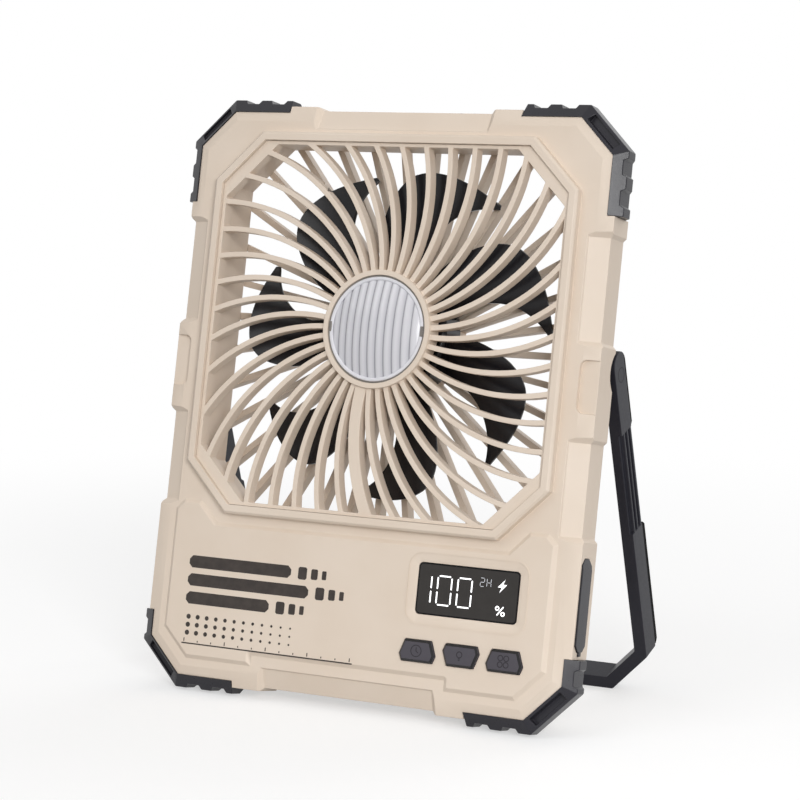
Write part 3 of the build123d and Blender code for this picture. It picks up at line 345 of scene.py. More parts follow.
@dataclass(frozen=True)
class CircuitBoard(Surface):
    """Glass-epoxy board under solder mask: faint lighter tracks show through the green."""

    pattern: Pattern = Pattern.TRACKS

    def blend(self, tree: Tree) -> Socket:
        """Add square cells, whose middles are the tracks."""
        scale = {"Scale": per_mm(self.pattern.value[0])}
        return add_node(tree, "TexVoronoi", scale, self.place(tree), distance="MANHATTAN").outputs["Distance"]


@dataclass(frozen=True)
class DrawnMetal(Surface):
    """Bare metal with fine drawing or winding lines along one axis."""

    grain: Grain = Grain.DRAWN
    ior: float = 1.5
    metallic: float = 1.0


@dataclass(frozen=True)
class FlutedPlastic(Surface):
    """Clear plastic pressed into flutes, with painted shade in the valleys and a painted highlight on the
    crests.
    """

    pattern: Pattern = Pattern.FLUTES
    attribute: str = "flute"

    def blend(self, tree: Tree) -> Socket:
        """Height of the flutes, which the mesh holds, and which sets the painted shade and highlight."""
        return add_node(tree, "Attribute", attribute_name=self.attribute).outputs["Fac"]


class Finish(Enum):
    """Every finish on the fan, by what the real piece is made of."""

    # Tan acrylonitrile butadiene styrene (ABS) from a spark-eroded mould: matt, with a soft wide highlight
    CASING = Surface("abs_tan_spark_eroded", ("#DCCCBB", "#E0D1C1"), 0.5, Grain.SPARK)
    # Thermoplastic rubber: dark, with a broad grey sheen on the faces that meet the lamp
    RUBBER = Surface("tpe_bumper_grey", ("#252429", "#2B2A31"), 0.3, Grain.SPARK, 0.6, specular=0.3)
    # Glass-filled nylon: near black in the shade, with a faint fibre bloom
    NYLON = Surface("nylon_stand_grey", ("#24242B", "#2B2B32"), 0.4, Grain.SPARK, 0.9, specular=0.18)
    # Black ABS from a polished mould: a narrow highlight along each blade
    ROTOR = Surface("abs_rotor_black", ("#131216", "#17161A"), 0.24, Grain.SATIN, specular=0.33)
    # ABS button caps, finely blasted: satin grey
    BUTTON = Surface("abs_button_grey", ("#464349", "#4C4950"), 0.48, Grain.SATIN, 0.5, specular=0.3)
    # Edge of the caps, glossy and painted black as painted shade: a thin black line with a glint
    CAP_EDGE = Surface("abs_cap_edge_painted_shade", ("#151416", "#1A191B"), 0.22, Grain.SATIN, specular=0.3)
    # Rails on the stand, painted near black as painted shade of the ledge behind its outer faces: matt, so
    # that they read as a line behind its faces
    RAIL = Surface("rail_painted_shade", ("#161517", "#1B1A1C"), 0.75, Grain.SPARK, specular=0.05)
    # Engraving in the caps and on the stand's pivots: dark and dull, as in shadow
    ENGRAVING = Surface("abs_button_engraving", ("#252327", "#2B292E"), 0.6, Grain.SATIN, 0.5, specular=0.2)
    # Pad-printed ink: dark, slightly thin in places
    INK = Surface(
        "pad_print_ink", ("#352F2C", "#403935"), 0.55, Grain.SATIN, pattern=Pattern.PATCHES, specular=0.3
    )
    # Frosted polycarbonate, pressed into flutes: grey and light stripes of painted shade in the valleys and
    # painted highlight on the crests
    LENS = FlutedPlastic(
        "polycarbonate_fluted_painted_shade", ("#87878E", "#C4C3C9", "#DCDBE0"), 0.2, ior=1.58, transmission=0.08
    )
    # Polycarbonate edge of the lens, painted near white: a painted highlight for the light that it pipes
    LENS_RIM = Surface(
        "polycarbonate_edge_painted_highlight",
        ("#E6E5EA", "#EFEEF3"),
        0.15,
        pattern=Pattern.HAZE,
        ior=1.58,
        transmission=0.1,
    )
    # Dull grey line between the lens and its cup, painted shade of the gap there; the lens clips wear the
    # same grey
    GASKET = Surface("gap_shade_and_clip_grey", ("#77726D", "#7F7A75"), 0.55, Grain.SATIN, specular=0.3)
    # Smoked acrylic: near black, glossy
    WINDOW = Surface(
        "acrylic_smoked", ("#322F2D", "#363331"), 0.16, pattern=Pattern.HAZE, ior=1.49, specular=0.25
    )
    # Foam strip round the window: a matt black line
    WINDOW_SEAL = Surface("foam_window_seal", ("#141314", "#19181A"), 0.7, Grain.SATIN, specular=0.1)
    # Light-emitting diodes (LEDs) under a diffuser film: an even white glow
    SEGMENT = Surface("led_segment_white", ("#F4F6FA", WHITE), 0.4, pattern=Pattern.FILM, ior=1.5, glow=0.9)
    # The same with less light: grey figures
    DIM_SEGMENT = Surface(
        "led_segment_dim", ("#B4B6BC", "#C9CBD0"), 0.4, pattern=Pattern.FILM, ior=1.5, glow=0.35
    )
    # Glass epoxy under solder mask: dark green with lighter tracks
    BOARD = CircuitBoard("glass_epoxy_green", ("#2F6B49", "#1E4D33"), 0.35, ior=1.5)
    # Moulded epoxy: satin black
    COMPONENT = Surface("epoxy_component_black", ("#232326", "#2B2B2F"), 0.5, Grain.SATIN)
    # Phosphor over the lamp's LEDs: pale yellow
    LED = Surface("led_phosphor_yellow", ("#EAD98A", "#F1E6B0"), 0.4, Grain.SATIN, 0.4)
    # Zinc-plated steel: bright, with fine drawing lines
    STEEL = DrawnMetal(
        "steel_zinc_plated",
        ("#A9ABAF", "#C9CBCE"),
        0.32,
        grain_mm=0.4,
        pattern=Pattern.DRAWN,
        stretch=(1.0, 0.15, 1.0),
    )
    # Shrunk polyvinyl chloride sleeve: smooth, glossy blue
    CELL = Surface("pvc_cell_wrap", ("#3F6E9A", "#4A7AA6"), 0.3, Grain.SATIN)
    # Enamelled copper wire: red-brown winding lines
    COPPER = DrawnMetal(
        "copper_enamelled",
        ("#8F4F2E", "#C77A4E"),
        0.35,
        grain_mm=0.5,
        pattern=Pattern.WOUND,
        stretch=(1.0, 0.2, 1.0),
    )
    # Sintered ferrite: matt grey
    MAGNET = Surface("ferrite_grey", ("#4A4A4D", "#555558"), 0.55, Grain.SPARK)

    def material(self) -> bpy.types.Material:
        """Material of this finish, made once."""
        return bpy.data.materials.get(self.value.name) or self.value.build()


def joint(name: str) -> dict[str, Any]:
    """The frame's entry for one joint."""
    return next(entry for entry in frame["joints"] if entry["name"] == name)


class FaceFrame:
    """The fan's leaning front: u to the right, v up along it, w out of it, in millimetres from its foot."""

    # Where the spinning joint's point is: up the front, and behind it
    HUB_HEIGHT = 134.2
    SPIN_DEPTH = 12.0

    def __init__(self) -> None:
        """Take the lean and the place from the spinning joint."""
        spin = joint("fan_spin")
        self.out = Vector(spin["axis"]).normalized()
        self.up = Vector((0.0, self.out.z, -self.out.y))
        right = self.up.cross(self.out)
        foot = Vector(spin["pos_m"]) + self.out * self.SPIN_DEPTH * MM - self.up * self.HUB_HEIGHT * MM
        turn = Matrix((right, self.up, self.out)).transposed().to_4x4()
        self.to_world = Matrix.Translation(foot) @ turn @ TO_METRES
        self.to_face = self.to_world.inverted()

    def span(self, node: str) -> tuple[Vector, Vector]:
        """Corners of a CAD node's box along the face's own axes.

        Args:
            node: Name of the CAD node.

        Returns:
            Lowest and highest corner in millimetres.
        """
        points = [self.to_face @ vertex.co for vertex in frame["nodes"][node].data.vertices]
        low = Vector(min(p[i] for p in points) for i in range(3))
        high = Vector(max(p[i] for p in points) for i in range(3))
        return low, high

    def at(self, u: float, v: float, w: float) -> Matrix:
        """Matrix that takes a drawing in millimetres to a plane parallel to the face."""
        return self.to_world @ Matrix.Translation((u, v, w))


FACE = FaceFrame()


def merged_copy(node: str) -> Shape:
    """Copy a CAD node's loose triangles and join them into whole faces.

    Args:
        node: Name of the CAD node.

    Returns:
        The copy, in metres.
    """
    shape = bmesh.new()
    shape.from_mesh(frame["nodes"][node].data)
    bmesh.ops.remove_doubles(shape, verts=shape.verts, dist=MERGE_MM * MM)
    flat = math.radians(FLAT_DEG)
    bmesh.ops.dissolve_limit(shape, angle_limit=flat, verts=shape.verts[:], edges=shape.edges[:])
    shape.normal_update()
    return shape


def rectangle(shape: Shape, size: Point) -> list[Vert]:
    """Add a flat rectangle about the origin, with its size along x and y, and give its corners."""
    scale = Matrix.Diagonal((*size, 1.0, 1.0))
    return bmesh.ops.create_grid(shape, x_segments=1, y_segments=1, size=0.5, matrix=scale)["verts"]


def faces_of(verts: Iterable[Vert]) -> list[Face]:
    """Faces that meet any of the vertices."""
    return list({face for vert in verts for face in vert.link_faces})


def round_off(
    shape: Shape, geom: Sequence[Any], radius: float, segments: int, affect: str = "EDGES"
) -> list[Vert]:
    """Round edges, or the corners of flat faces.

    Args:
        shape: Mesh that holds them.
        geom: The edges, or the corners as vertices.
        radius: Width of the rounding, in the mesh's own units.
        segments: Facets of the rounding.
        affect: Blender's word for what is rounded, EDGES or VERTICES.

    Returns:
        Vertices of the rounding.
    """
    made = bmesh.ops.bevel(
        shape,
        geom=geom,
        offset=radius,
        offset_type="OFFSET",
        segments=segments,
        profile=0.5,
        affect=affect,
        clamp_overlap=False,
        material=-1,
    )
    return made["verts"]


def thicken(shape: Shape, faces: list[Face], height: float) -> None:
    """Make plates of flat faces, which stay as their undersides.

    Args:
        shape: Mesh that holds the faces.
        faces: The faces.
        height: Thickness of the plates along z.
    """
    made = bmesh.ops.extrude_face_region(shape, geom=faces, use_keep_orig=True)
    lifted = [part for part in made["geom"] if isinstance(part, Vert)]
    bmesh.ops.translate(shape, verts=lifted, vec=(0.0, 0.0, height))


def is_broad(face: Face) -> bool:
    """Whether a face is wider than the facets of a small curve."""
    return 2 * face.calc_area() > BROAD_MM * MM * face.calc_perimeter()


def add_object(name: str, data: bpy.types.ID) -> bpy.types.Object:
    """Put a mesh, lamp or camera into the scene.

    Args:
        name: Name of the object.
        data: What it shows.

    Returns:
        The new object.
    """
    made = bpy.data.objects.new(name, data)
    bpy.context.scene.collection.objects.link(made)
    return made


def show(
    shape: Shape,
    name: str,
    finish: Finish,
    body: str,
    slot: str,
    node: str | None = None,
    smooth_deg: float = SMOOTH_DEG,
    broad_deg: float = SMOOTH_DEG,
) -> None:
    """Turn a finished shape into a piece that rides on a CAD body.

    Args:
        shape: Mesh in the frame, in metres; freed here.
        name: Name of the piece.
        finish: Finish that it wears.
        body: CAD body that it rides on.
        slot: Material slot of the record; not used.
        node: CAD node that it stands for, if any.
        smooth_deg: Angle below which neighbouring faces shade as one.
        broad_deg: The same for two broad faces.
    """
    shape.normal_update()
    for face in shape.faces:
        face.smooth = True
    for edge in shape.edges:
        limit = broad_deg if all(is_broad(face) for face in edge.link_faces) else smooth_deg
        edge.smooth = edge.calc_face_angle(math.pi) < math.radians(limit)
    mesh = bpy.data.meshes.new(name)
    shape.to_mesh(mesh)
    shape.free()
    mesh.materials.append(finish.material())
    piece = add_object(name, mesh)
    weighted = piece.modifiers.new("flat_faces", "WEIGHTED_NORMAL")
    weighted.keep_sharp = True
    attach(piece, body)
    if node:
        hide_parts(node)
    LOG.info("%s: %d faces on %s", name, len(mesh.polygons), body)


class OpenAir:
    """Tells which points of the assembled fan light can reach."""

    NODES = ("front_casing", "rear_casing", "front_grille", "display_module", "control_board", "port_board")
    SUBDIVISIONS = 2
    LIFT_MM = 0.3
    # Length of a look, in metres: past the far side of the fan
    REACH = 0.5

    def __init__(self) -> None:
        """Gather the pieces that close the body, and the directions to look in."""
        shape = bmesh.new()
        for node in self.NODES:
            shape.from_mesh(frame["nodes"][node].data)
        self.tree = BVHTree.FromBMesh(shape)
        shape.free()
        compass = bmesh.new()
        bmesh.ops.create_icosphere(compass, subdivisions=self.SUBDIVISIONS, radius=1.0)
        self.ways = [vert.co.normalized() for vert in compass.verts]
        compass.free()

    def reaches(self, point: Vector, outward: Vector) -> bool:
        """Look from just above a point for a way out.

        Args:
            point: Point on a surface, in metres.
            outward: Direction away from that surface.

        Returns:
            Whether any straight line leaves the fan from there.
        """
        start = point + outward * self.LIFT_MM * MM
        ways = [way for way in self.ways if way.dot(outward) > 0]
        return any(self.tree.ray_cast(start, way, self.REACH)[0] is None for way in ways)


OPEN_AIR = OpenAir()


@dataclass
class Moulding:
    """A CAD node shown with rounded edges, apart from those shut in inside the body."""

    node: str
    finish: Finish
    slot: str
    rounding: Rounding
    segments: int = 2
    sharp_deg: float = 24.0
    crease_deg: float = SMOOTH_DEG

    def build(self) -> None:
        """Round the sharp edges that light reaches, and show the piece in place of its node."""
        shape = self.shape()
        limit = math.radians(self.sharp_deg)
        inner = [edge for edge in shape.edges if len(edge.link_faces) == 2]
        sharp = [edge for edge in inner if edge.calc_face_angle(0.0) > limit and self.lit(edge)]
        round_off(shape, sharp, self.rounding.value * MM, self.segments)
        name, body = f"{self.node}_skin", frame["nodes"][self.node]["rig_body"]
        show(shape, name, self.finish, body, self.slot, self.node, broad_deg=self.crease_deg)

    def shape(self) -> Shape:
        """The node's own shape, before its edges are rounded."""
        return merged_copy(self.node)

    def lit(self, edge: bmesh.types.BMEdge) -> bool:
        """Whether light reaches the middle of an edge."""
        outward = sum((face.normal for face in edge.link_faces), Vector()).normalized()
        return OPEN_AIR.reaches((edge.verts[0].co + edge.verts[1].co) / 2, outward)


class Drawing:
    """Thin raised marks drawn on a plane, in millimetres."""

    # Most that a bar's eased corners take of its half width and of its half length
    EASE_ACROSS = 0.6
    EASE_ALONG = 0.3
    # Room at each end of a digit's bar, in strokes
    TRIM = 0.85
    CORNER_STEPS = 10
    DISC_SIDES = 28

    def __init__(self, place: Matrix) -> None:
        """Start an empty drawing, with the matrix from its millimetres to the frame."""
        self.place = place
        self.shape = bmesh.new()

    def outline(self, points: Iterable[Point]) -> None:
        """Add a filled outline, given round its edge."""
        self.shape.faces.new([self.shape.verts.new((x, y, 0.0)) for x, y in points])

    def bar(self, start: Point, end: Point, width: float) -> None:
        """Add a straight bar with eased ends.

        Args:
            start: Middle of its first end.
            end: Middle of its last end.
            width: Its width.
        """
        along = Vector(end) - Vector(start)
        reach, half = along.length / 2, width / 2
        turn = Matrix.Rotation(math.atan2(along.y, along.x), 2)
        middle = (Vector(start) + Vector(end)) / 2
        ease = min(half * self.EASE_ACROSS, reach * self.EASE_ALONG)
        corners = [
            (-reach + ease, -half),
            (reach - ease, -half),
            (reach, -half + ease),
            (reach, half - ease),
            (reach - ease, half),
            (-reach + ease, half),
            (-reach, half - ease),
            (-reach, -half + ease),
        ]
        self.outline([tuple(middle + turn @ Vector(corner)) for corner in corners])

    def disc(self, centre: Point, radius: float, sides: int = DISC_SIDES) -> list[Face]:
        """Add a filled circle.

        Args:
            centre: Its centre.
            radius: Its radius.
            sides: Number of its sides.

        Returns:
            Its face, in a list.
        """
        spot = Matrix.Translation((*centre, 0.0))
        made = bmesh.ops.create_circle(self.shape, cap_ends=True, segments=sides, radius=radius, matrix=spot)
        return faces_of(made["verts"])

    def ring(self, centre: Point, radius: float, width: float) -> None:
        """Add a ring with its outer radius and its width."""
        self.hollow(self.disc(centre, radius), width)

    def surround(self, size: Point, radius: float, width: float) -> None:
        """Add a border, width wide, with its outer size and corner radius, about the drawing's centre."""
        rounded = round_off(self.shape, rectangle(self.shape, size), radius, self.CORNER_STEPS, "VERTICES")
        self.hollow(faces_of(rounded), width)

    def hollow(self, faces: list[Face], width: float) -> None:
        """Leave only a border of faces, width wide."""
        bmesh.ops.inset_region(
            self.shape, faces=faces, thickness=width, use_boundary=True, use_even_offset=True
        )
        bmesh.ops.delete(self.shape, geom=faces, context="FACES_ONLY")

    def number(
        self, digits: Sequence[Sequence[Segment]], first: Point, pitch: float, cell: Point, stroke: float
    ) -> None:
        """Add a row of digits made of straight bars.

        Args:
            digits: The lit bars of each digit.
            first: Lower left corner of the first digit's cell.
            pitch: Step from a digit to the next.
            cell: Width and height of a digit's cell.
            stroke: Width of a bar.
        """
        for index, bars in enumerate(digits):
            left, low = first[0] + index * pitch, first[1]
            for segment in bars:
                start, end = (Vector((left + x * cell[0], low + y * cell[1] / 2)) for x, y in segment.value)
                trim = (end - start).normalized() * stroke * self.TRIM
                self.bar(tuple(start + trim), tuple(end - trim), stroke)

    def finish(self, name: str, finish: Finish, body: str, slot: str, height: float) -> None:
        """Give the marks their thickness and show them.

        Args:
            name: Name of the piece.
            finish: Finish of the marks.
            body: CAD body that they ride on.
            slot: Material slot of the record.
            height: How far they stand proud, in millimetres.
        """
        bmesh.ops.recalc_face_normals(self.shape, faces=self.shape.faces[:])
        flipped = [face for face in self.shape.faces if face.normal.z < 0]
        bmesh.ops.reverse_faces(self.shape, faces=flipped)
        base = self.shape.faces[:]
        thicken(self.shape, base, height)
        bmesh.ops.reverse_faces(self.shape, faces=base)
        bmesh.ops.transform(self.shape, matrix=self.place, verts=self.shape.verts[:])
        show(self.shape, name, finish, body, slot)


@dataclass
class Casing:
    """Front and rear shells and their corner bumpers."""

    shells: tuple[str, ...] = ("front_casing", "rear_casing")
    bumpers: tuple[str, ...] = ("top_left", "top_right", "bottom_left", "bottom_right")
    crease_deg: float = 8.0
    bumper_deg: float = 20.0

    def build(self) -> None:
        """Show the shells and bumpers with rounded edges."""
        for shell in self.shells:
            Moulding(shell, Finish.CASING, "tan_abs", Rounding.FINE, crease_deg=self.crease_deg).build()
        for corner in self.bumpers:
            node, sharp = f"bumper_{corner}", self.bumper_deg
            Moulding(node, Finish.RUBBER, "dark_rubber", Rounding.SMALL, sharp_deg=sharp).build()


@dataclass
class FanDrive:
    """Grille in front and the spinning rotor behind it."""

    vane_edge: Rounding = Rounding.SMALL
    blade_edge: Rounding = Rounding.SMALL

    def build(self) -> None:
        """Show the grille and the rotor with rounded edges."""
        Moulding("front_grille", Finish.CASING, "tan_abs", self.vane_edge).build()
        Moulding("fan_rotor", Finish.ROTOR, "black_plastic", self.blade_edge).build()


@dataclass
class LampLens:
    """Domed diffuser with upright flutes of painted shade and highlight, inside a rim painted bright and a
    grey ring of painted gap shade, held by two clips.
    """

    flutes: int = 11
    points_each: int = 12
    rows: int = 20
    # Half width that the flutes cover, as a share of the radius: the grid's end columns stay open
    cover: float = 0.998
    flute_rise: float = 0.3
    flute_lean: float = 0.7
    dome: float = 3.2
    smooth_deg: float = 60.0
    gap_shade_width: float = 0.5
    rim_width: float = 1.3
    rim_rise: float = 0.5
    rim_outer_ease: float = 0.3
    rim_inner_ease: float = 0.4
    steps: int = 72
    clip_size: Place = (1.0, 3.8, 0.5)
    clip_proud: float = 0.05
    clip_round: float = 0.12
    clip_segments: int = 2

    def build(self) -> None:
        """Model the lens, its rim, the grey ring of painted gap shade and the clips in place of the plain
        lens.
        """
        low, high = FACE.span("lamp_lens")
        radius = (high.x - low.x) / 2
        top = high.z - low.z
        rim_top = top + self.rim_rise
        outer = radius - self.gap_shade_width
        inner = outer - self.rim_width
        place = FACE.at((low.x + high.x) / 2, (low.y + high.y) / 2, low.z)
        flutes = self.fluted(inner, top)
        bmesh.ops.transform(flutes, matrix=place, verts=flutes.verts[:])
        show(flutes, "lamp_lens_fluted", Finish.LENS, "body", "lens", "lamp_lens", self.smooth_deg)
        rim = [
            (inner, 0.0),
            (outer, 0.0),
            (outer, rim_top - self.rim_outer_ease),
            (outer - self.rim_outer_ease, rim_top),
            (inner + self.rim_inner_ease, rim_top),
            (inner, rim_top - self.rim_inner_ease),
        ]
        # The rim's near-white finish is a painted highlight
        self.spun("lamp_lens_rim", rim, Finish.LENS_RIM, "lens", place)
        # Grey ring of painted shade for the gap between the lens and its cup
        gap_shade = [(outer, 0.0), (radius, 0.0), (radius, top), (outer, top)]
        self.spun("lamp_lens_gap_shade", gap_shade, Finish.GASKET, "dark_plastic", place)
        self.add_clips(outer, rim_top, place)

    def fluted(self, radius: float, top: float) -> Shape:
        """Model the fluted dome with its skirt, open below, and mark each point's height in its flute, which
        also paints shade in the valleys and highlight on the crests.

        Args:
            radius: Radius of the fluted area.
            top: Height of its edge.

        Returns:
            The dome in millimetres.
        """
        shape = bmesh.new()
        columns = self.flutes * self.points_each
        bmesh.ops.create_grid(shape, x_segments=columns, y_segments=self.rows, size=1.0)
        mark = shape.verts.layers.float.new(Finish.LENS.value.attribute)
        for vert in shape.verts:
            across = vert.co.x * self.cover
            chord = math.sqrt(1 - across * across)
            phase = ((vert.co.x + 1) / 2 * self.flutes) % 1.0
            # A flute leans: it rises faster on its left than it falls on its right. The same height paints
            # shade in the valleys and highlight on the crests
            vert[mark] = math.sin(math.pi * phase**self.flute_lean)
            reach = across * across + (vert.co.y * chord) ** 2
            height = top - self.flute_rise + self.dome * (1 - reach) + self.flute_rise * vert[mark]
            vert.co = (across * radius, vert.co.y * chord * radius, height)
        border = [edge for edge in shape.edges if edge.is_boundary]
        made = bmesh.ops.extrude_edge_only(shape, edges=border)
        for part in made["geom"]:
            if isinstance(part, Vert):
                part.co.z = 0.0
        bmesh.ops.recalc_face_normals(shape, faces=shape.faces[:])
        return shape

    def spun(self, name: str, profile: Sequence[Point], finish: Finish, slot: str, place: Matrix) -> None:
        """Spin a closed outline of radius and height into a ring and show it.

        Args:
            name: Name of the piece.
            profile: Corners of the outline.
            finish: Finish of the ring.
            slot: Material slot of the record.
            place: Matrix from the lens to the frame.
        """
        shape = bmesh.new()
        verts = [shape.verts.new((radius, 0.0, height)) for radius, height in profile]
        edges = [shape.edges.new((verts[i - 1], verts[i])) for i in range(len(verts))]
        bmesh.ops.spin(
            shape,
            geom=verts + edges,
            cent=(0.0, 0.0, 0.0),
            axis=(0.0, 0.0, 1.0),
            angle=math.tau,
            steps=self.steps,
            use_merge=True,
        )
        bmesh.ops.recalc_face_normals(shape, faces=shape.faces[:])
        bmesh.ops.transform(shape, matrix=place, verts=shape.verts[:])
        show(shape, name, finish, "body", slot)

    def add_clips(self, outer: float, top: float, place: Matrix) -> None:
        """Add the two dark clips at the sides.

        Args:
            outer: Outer radius of the rim.
            top: Height of the rim.
            place: Matrix from the lens to the frame.
        """
        wide, tall, deep = self.clip_size
        for name, side in SIDES:
            shape = bmesh.new()
            spot = Matrix.Translation((side * (outer - wide / 2), 0.0, top + self.clip_proud - deep / 2))
            bmesh.ops.create_cube(shape, size=1.0, matrix=spot @ Matrix.Diagonal((*self.clip_size, 1.0)))
            round_off(shape, shape.edges[:], self.clip_round, self.clip_segments)
            bmesh.ops.transform(shape, matrix=place, verts=shape.verts[:])
            show(shape, f"lens_clip_{name}", Finish.GASKET, "body", "dark_plastic")


@dataclass
class Display:
    """Smoked window with its seal and lit figures, inside a dished frame with a fine lip."""

    first: Point = (-20.0, -5.3)
    pitch: float = 8.0
    cell: Point = (5.5, 10.3)
    stroke: float = 0.54
    small_first: Point = (4.7, 2.9)
    small_pitch: float = 2.6
    small_cell: Point = (1.6, 3.0)
    small_stroke: float = 0.2
    bolt_at: Point = (13.4, 3.7)
    slash: tuple[Point, Point] = ((12.2, -6.7), (14.6, -3.5))
    slash_width: float = 0.5
    percent_at: tuple[Point, Point] = ((12.2, -4.2), (14.5, -6.1))
    percent_radius: float = 0.85
    percent_width: float = 0.45
    proud: float = 0.03
    seal: float = 0.4
    seal_radius: float = 1.6
    frame_margin: float = 3.6
    frame_radius: float = 5.6
    frame_lip: float = 0.45
    lip_proud: float = 0.16

    ZERO = tuple(segment for segment in Segment if segment is not Segment.MIDDLE)
    ONE = (Segment.TOP_RIGHT, Segment.LOW_RIGHT)
    TWO = (Segment.TOP, Segment.TOP_RIGHT, Segment.MIDDLE, Segment.LOW_LEFT, Segment.BOTTOM)
    HOURS = (Segment.TOP_LEFT, Segment.TOP_RIGHT, Segment.MIDDLE, Segment.LOW_LEFT, Segment.LOW_RIGHT)
    BOLT = ((1.0, 2.4), (-1.75, -0.5), (-0.25, -0.5), (-0.9, -2.4), (1.75, 0.6), (0.2, 0.6))

    def build(self) -> None:
        """Show the window, its seal and the lip round it, and draw the figures."""
        Moulding("display_window", Finish.WINDOW, "display_glass", Rounding.CRISP).build()
        low, high = FACE.span("display_window")
        middle = ((low.x + high.x) / 2, (low.y + high.y) / 2)
        size = (high.x - low.x, high.y - low.y)
        on_window = FACE.at(*middle, high.z)
        seal = Drawing(on_window)
        seal.surround(size, self.seal_radius, self.seal)
        seal.finish("display_seal", Finish.WINDOW_SEAL, "body", "dark_plastic", self.proud)
        margin = 2 * (self.frame_margin + self.frame_lip)
        lip = Drawing(FACE.at(*middle, PANEL_TOP_MM))
        lip.surround((size[0] + margin, size[1] + margin), self.frame_radius, self.frame_lip)
        lip.finish("display_lip", Finish.CASING, "body", "tan_abs", self.lip_proud)
        self.draw_figures(on_window)

    def draw_figures(self, place: Matrix) -> None:
        """Draw the charge with its signs in bright figures, and the hours in small dim ones.

        Args:
            place: Matrix from the window's millimetres to the frame.
        """
        figures = Drawing(place)
        figures.number((self.ONE, self.ZERO, self.ZERO), self.first, self.pitch, self.cell, self.stroke)
        figures.outline([(self.bolt_at[0] + x, self.bolt_at[1] + y) for x, y in self.BOLT])
        figures.bar(*self.slash, self.slash_width)
        for centre in self.percent_at:
            figures.ring(centre, self.percent_radius, self.percent_width)
        figures.finish("display_figures", Finish.SEGMENT, "body", "display_glass", self.proud)
        hours = Drawing(place)
        small = (self.small_first, self.small_pitch, self.small_cell, self.small_stroke)
        hours.number((self.TWO, self.HOURS), *small)
        hours.finish("display_hours", Finish.DIM_SEGMENT, "body", "display_glass", self.proud)


@dataclass(frozen=True)
class Sign:
    """Sign on a button, in millimetres: rings of one radius about centres, and bars between two ends."""

    centres: tuple[Point, ...]
    radius: float
    bars: tuple[tuple[Point, Point], ...] = ()

    def draw(self, drawing: Drawing, stroke: float) -> None:
        """Draw the rings, then the bars.

        Args:
            drawing: Drawing that gets the sign.
            stroke: Width of its lines.
        """
        for centre in self.centres:
            drawing.ring(centre, self.radius, stroke)
        for start, end in self.bars:
            drawing.bar(start, end, stroke)


@dataclass
class Buttons:
    """Three caps with edges painted black as painted shade, and engraved signs."""

    stroke: float = 0.3
    proud: float = 0.02
    shade_thick: float = 0.04
    # Least and most part of a normal along the way out, on the chamfer of a cap
    chamfer: Point = (0.1, FACING)

    SIGNS = {
        # A clock face with two hands
        "timer": Sign(((0.0, 0.0),), 2.2, (((0.0, -0.2), (0.0, 1.3)), ((0.0, 0.0), (0.9, -0.7)))),
        # A bulb with its cap
        "lamp": Sign(((0.0, 0.5),), 1.2, (((-0.45, -0.95), (0.45, -0.95)), ((-0.35, -1.5), (0.35, -1.5)))),
        # A rotor of four round blades
        "speed": Sign(((-1.15, -1.15), (-1.15, 1.15), (1.15, -1.15), (1.15, 1.15)), 1.1),
    }

    def build(self) -> None:
        """Show the caps and draw a sign on each."""
        for name, sign in self.SIGNS.items():
            node, body = f"button_{name}", f"{name}_button"
            Moulding(node, Finish.BUTTON, "button_plastic", Rounding.SMALL).build()
            low, high = FACE.span(node)
            drawing = Drawing(FACE.at((low.x + high.x) / 2, (low.y + high.y) / 2, high.z))
            sign.draw(drawing, self.stroke)
            drawing.finish(f"{node}_sign", Finish.ENGRAVING, body, "button_plastic", self.proud)
            self.shade_cap_edge(node, body)

    def shade_cap_edge(self, node: str, body: str) -> None:
        """Cover the chamfer of a cap with a thin glossy sheet painted black as painted shade.

        Args:
            node: CAD node of the cap.
            body: CAD body that it rides on.
        """
        shape = merged_copy(node)
        least, most = self.chamfer
        rest = [face for face in shape.faces if not least < face.normal.dot(FACE.out) < most]
        bmesh.ops.delete(shape, geom=rest, context="FACES")
        bmesh.ops.solidify(shape, geom=shape.faces[:], thickness=self.shade_thick * MM)
        bmesh.ops.translate(shape, verts=shape.verts[:], vec=FACE.out * self.shade_thick * MM)
        show(shape, f"{node}_edge", Finish.CAP_EDGE, body, "button_plastic")


